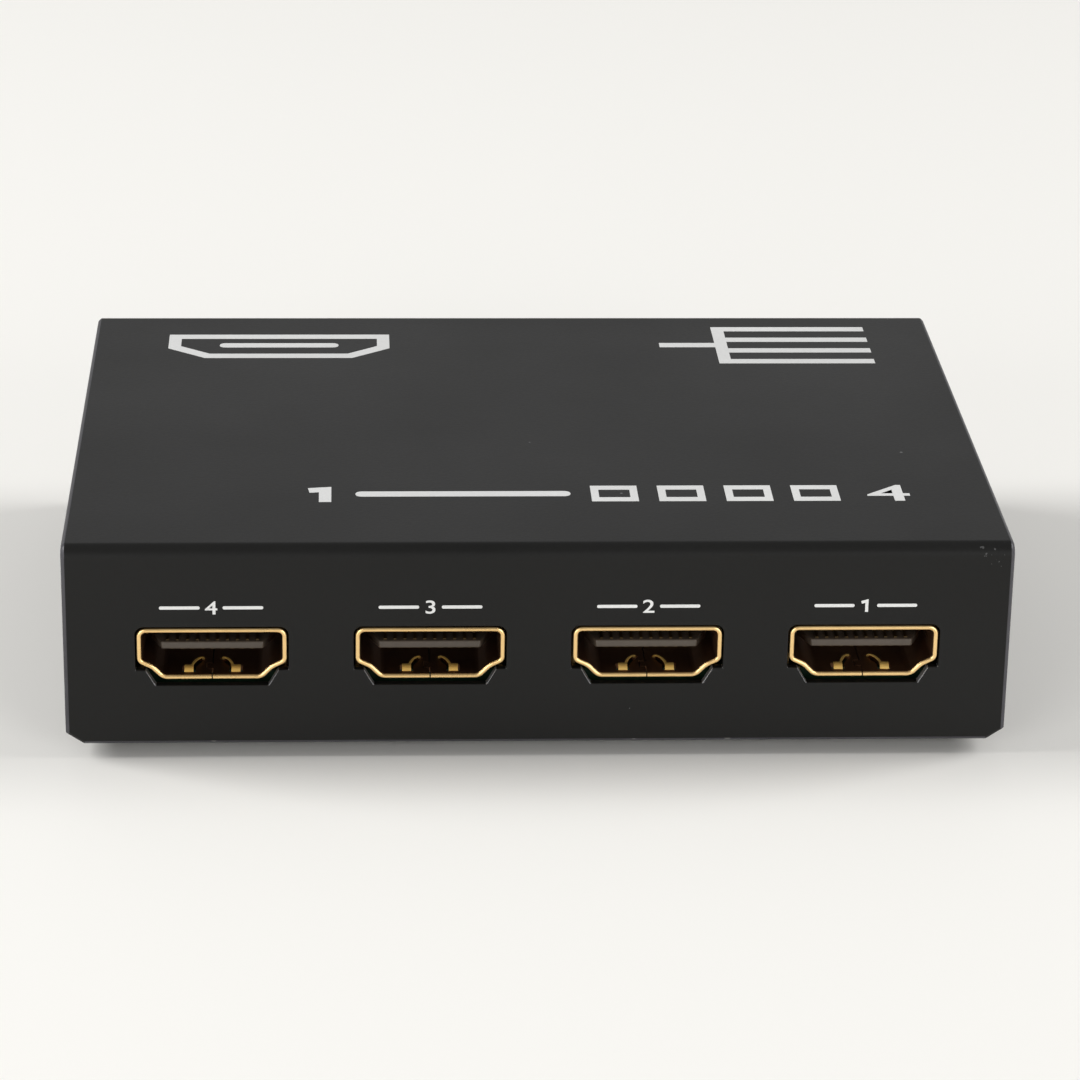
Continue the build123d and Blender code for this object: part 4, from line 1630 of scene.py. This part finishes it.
    def row(self) -> list[bpy.types.Object]:
        """A row from one to four: a number, a long rule, four boxes and a number.

        Returns:
            The row's marks.
        """
        y, size = self.row_height, self.row_size
        parts = [self.one(self.row_one, y, size, self.mark_stroke)]
        parts.append(self.bar(*self.row_rule, y, self.mark_stroke))
        parts += [self.open_box(self.row_box + step * self.row_box_pitch) for step in range(len(OUTPUTS))]
        parts.append(self.number(str(len(OUTPUTS)), self.row_last, y, size, self.row_stretch))
        return parts

    def open_box(self, x: float) -> bpy.types.Object:
        """One open box of the row.

        Args:
            x: its middle's place across.

        Returns:
            The box.
        """
        y, half, height = self.row_height, self.box_half, self.row_size / 2
        hole_half, hole_height = half - self.box_side, height - self.box_rail
        box = self.film("box", (x - half, y - height), (x + half, y + height))
        low = (x - hole_half, y - hole_height, -BEYOND)
        cut(box, block("hole", low, (x + hole_half, y + hole_height, BEYOND)))
        return box


# Studio


@dataclass(frozen=True)
class Lamp:
    """One soft square lamp. Places and its side are in metres, and its power is in watts."""

    name: str
    place: Point
    aim: Point
    side: float
    power: float

    def build(self) -> None:
        """Adds the lamp, pointing at its aim."""
        data = bpy.data.lights.new(self.name, "AREA")
        data.shape = "SQUARE"
        data.size = self.side
        data.energy = self.power
        lamp = bpy.data.objects.new(self.name, data)
        bpy.context.scene.collection.objects.link(lamp)
        lamp.location = self.place
        lamp.rotation_euler = (Vector(self.aim) - Vector(self.place)).to_track_quat("-Z", "Y").to_euler()


@dataclass
class Studio:
    """Pale floor, soft light and the photograph's view. Places and sizes are in metres."""

    camera_place: Point = (-0.01958, -0.40208, 0.17390)
    camera_turn: Point = (67.718, -0.912, -2.672)  # degrees
    lens: float = 133.34  # millimetres, as is the sensor
    sensor: float = 36.0
    clip: Span = (0.01, 50.0)
    floor_size: float = 6.0
    floor_colour: Colour = (0.9, 0.886, 0.85)
    floor_roughness: float = 0.85
    floor_specular: float = 0.1
    surround: float = 0.24
    lamps: tuple[Lamp, ...] = (
        Lamp("back_sheen", (0.0, 0.85, 0.42), (0, 0, 0.02), 0.8, 0.75),
        Lamp("left_high", (-0.85, 0.1, 0.6), (0, 0, 0.01), 0.5, 7.5),
        Lamp("right_high", (0.85, 0.1, 0.6), (0, 0, 0.01), 0.5, 5.6),
        Lamp("front_fill", (-0.5, -0.75, 0.2), (0, 0, 0.012), 0.45, 3.0),
        Lamp("front_fill", (0.5, -0.75, 0.2), (0, 0, 0.012), 0.45, 3.0),
    )

    def build(self) -> None:
        """Sets the floor, the world, the lamps and the camera."""
        self.floor()
        self.world()
        for lamp in self.lamps:
            lamp.build()
        self.camera()

    def floor(self) -> None:
        """A plain pale floor that keeps the object's shadow."""
        deselect()
        bpy.ops.mesh.primitive_plane_add(size=self.floor_size)
        floor = added("floor")
        material = bpy.data.materials.new("pale_floor")
        material.use_nodes = True
        shader = material.node_tree.nodes["Principled BSDF"]
        shader.inputs["Base Color"].default_value = (*self.floor_colour, 1)
        shader.inputs["Roughness"].default_value = self.floor_roughness
        shader.inputs["Specular IOR Level"].default_value = self.floor_specular
        floor.data.materials.append(material)

    def world(self) -> None:
        """A plain, even surround, which metal mirrors as the camera sees it."""
        world = bpy.data.worlds.new("studio")
        bpy.context.scene.world = world
        world.use_nodes = True
        background = world.node_tree.nodes["Background"]
        background.inputs["Strength"].default_value = self.surround
        background.inputs["Color"].default_value = (1, 1, 1, 1)

    def camera(self) -> None:
        """The photograph's own view, from a camera fitted to the box's and the sockets' corners."""
        data = bpy.data.cameras.new("camera")
        data.lens = self.lens
        data.sensor_width = self.sensor
        data.clip_start, data.clip_end = self.clip
        camera = bpy.data.objects.new("camera", data)
        bpy.context.scene.collection.objects.link(camera)
        camera.location = self.camera_place
        camera.rotation_euler = [math.radians(angle) for angle in self.camera_turn]
        bpy.context.scene.camera = camera


def main() -> None:
    """Builds the object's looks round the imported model."""
    logging.basicConfig(level=logging.INFO, format="%(name)s: %(message)s")
    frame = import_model()
    bpy.context.scene.view_settings.view_transform = "Standard"
    deselect()
    palette = Palette()
    for assembly in (Case, VideoSocket, PowerInlet, BoardAssembly, Print):
        assembly(frame, palette).build()
    Studio().build()
    deselect()


if __name__ == "__main__":
    main()
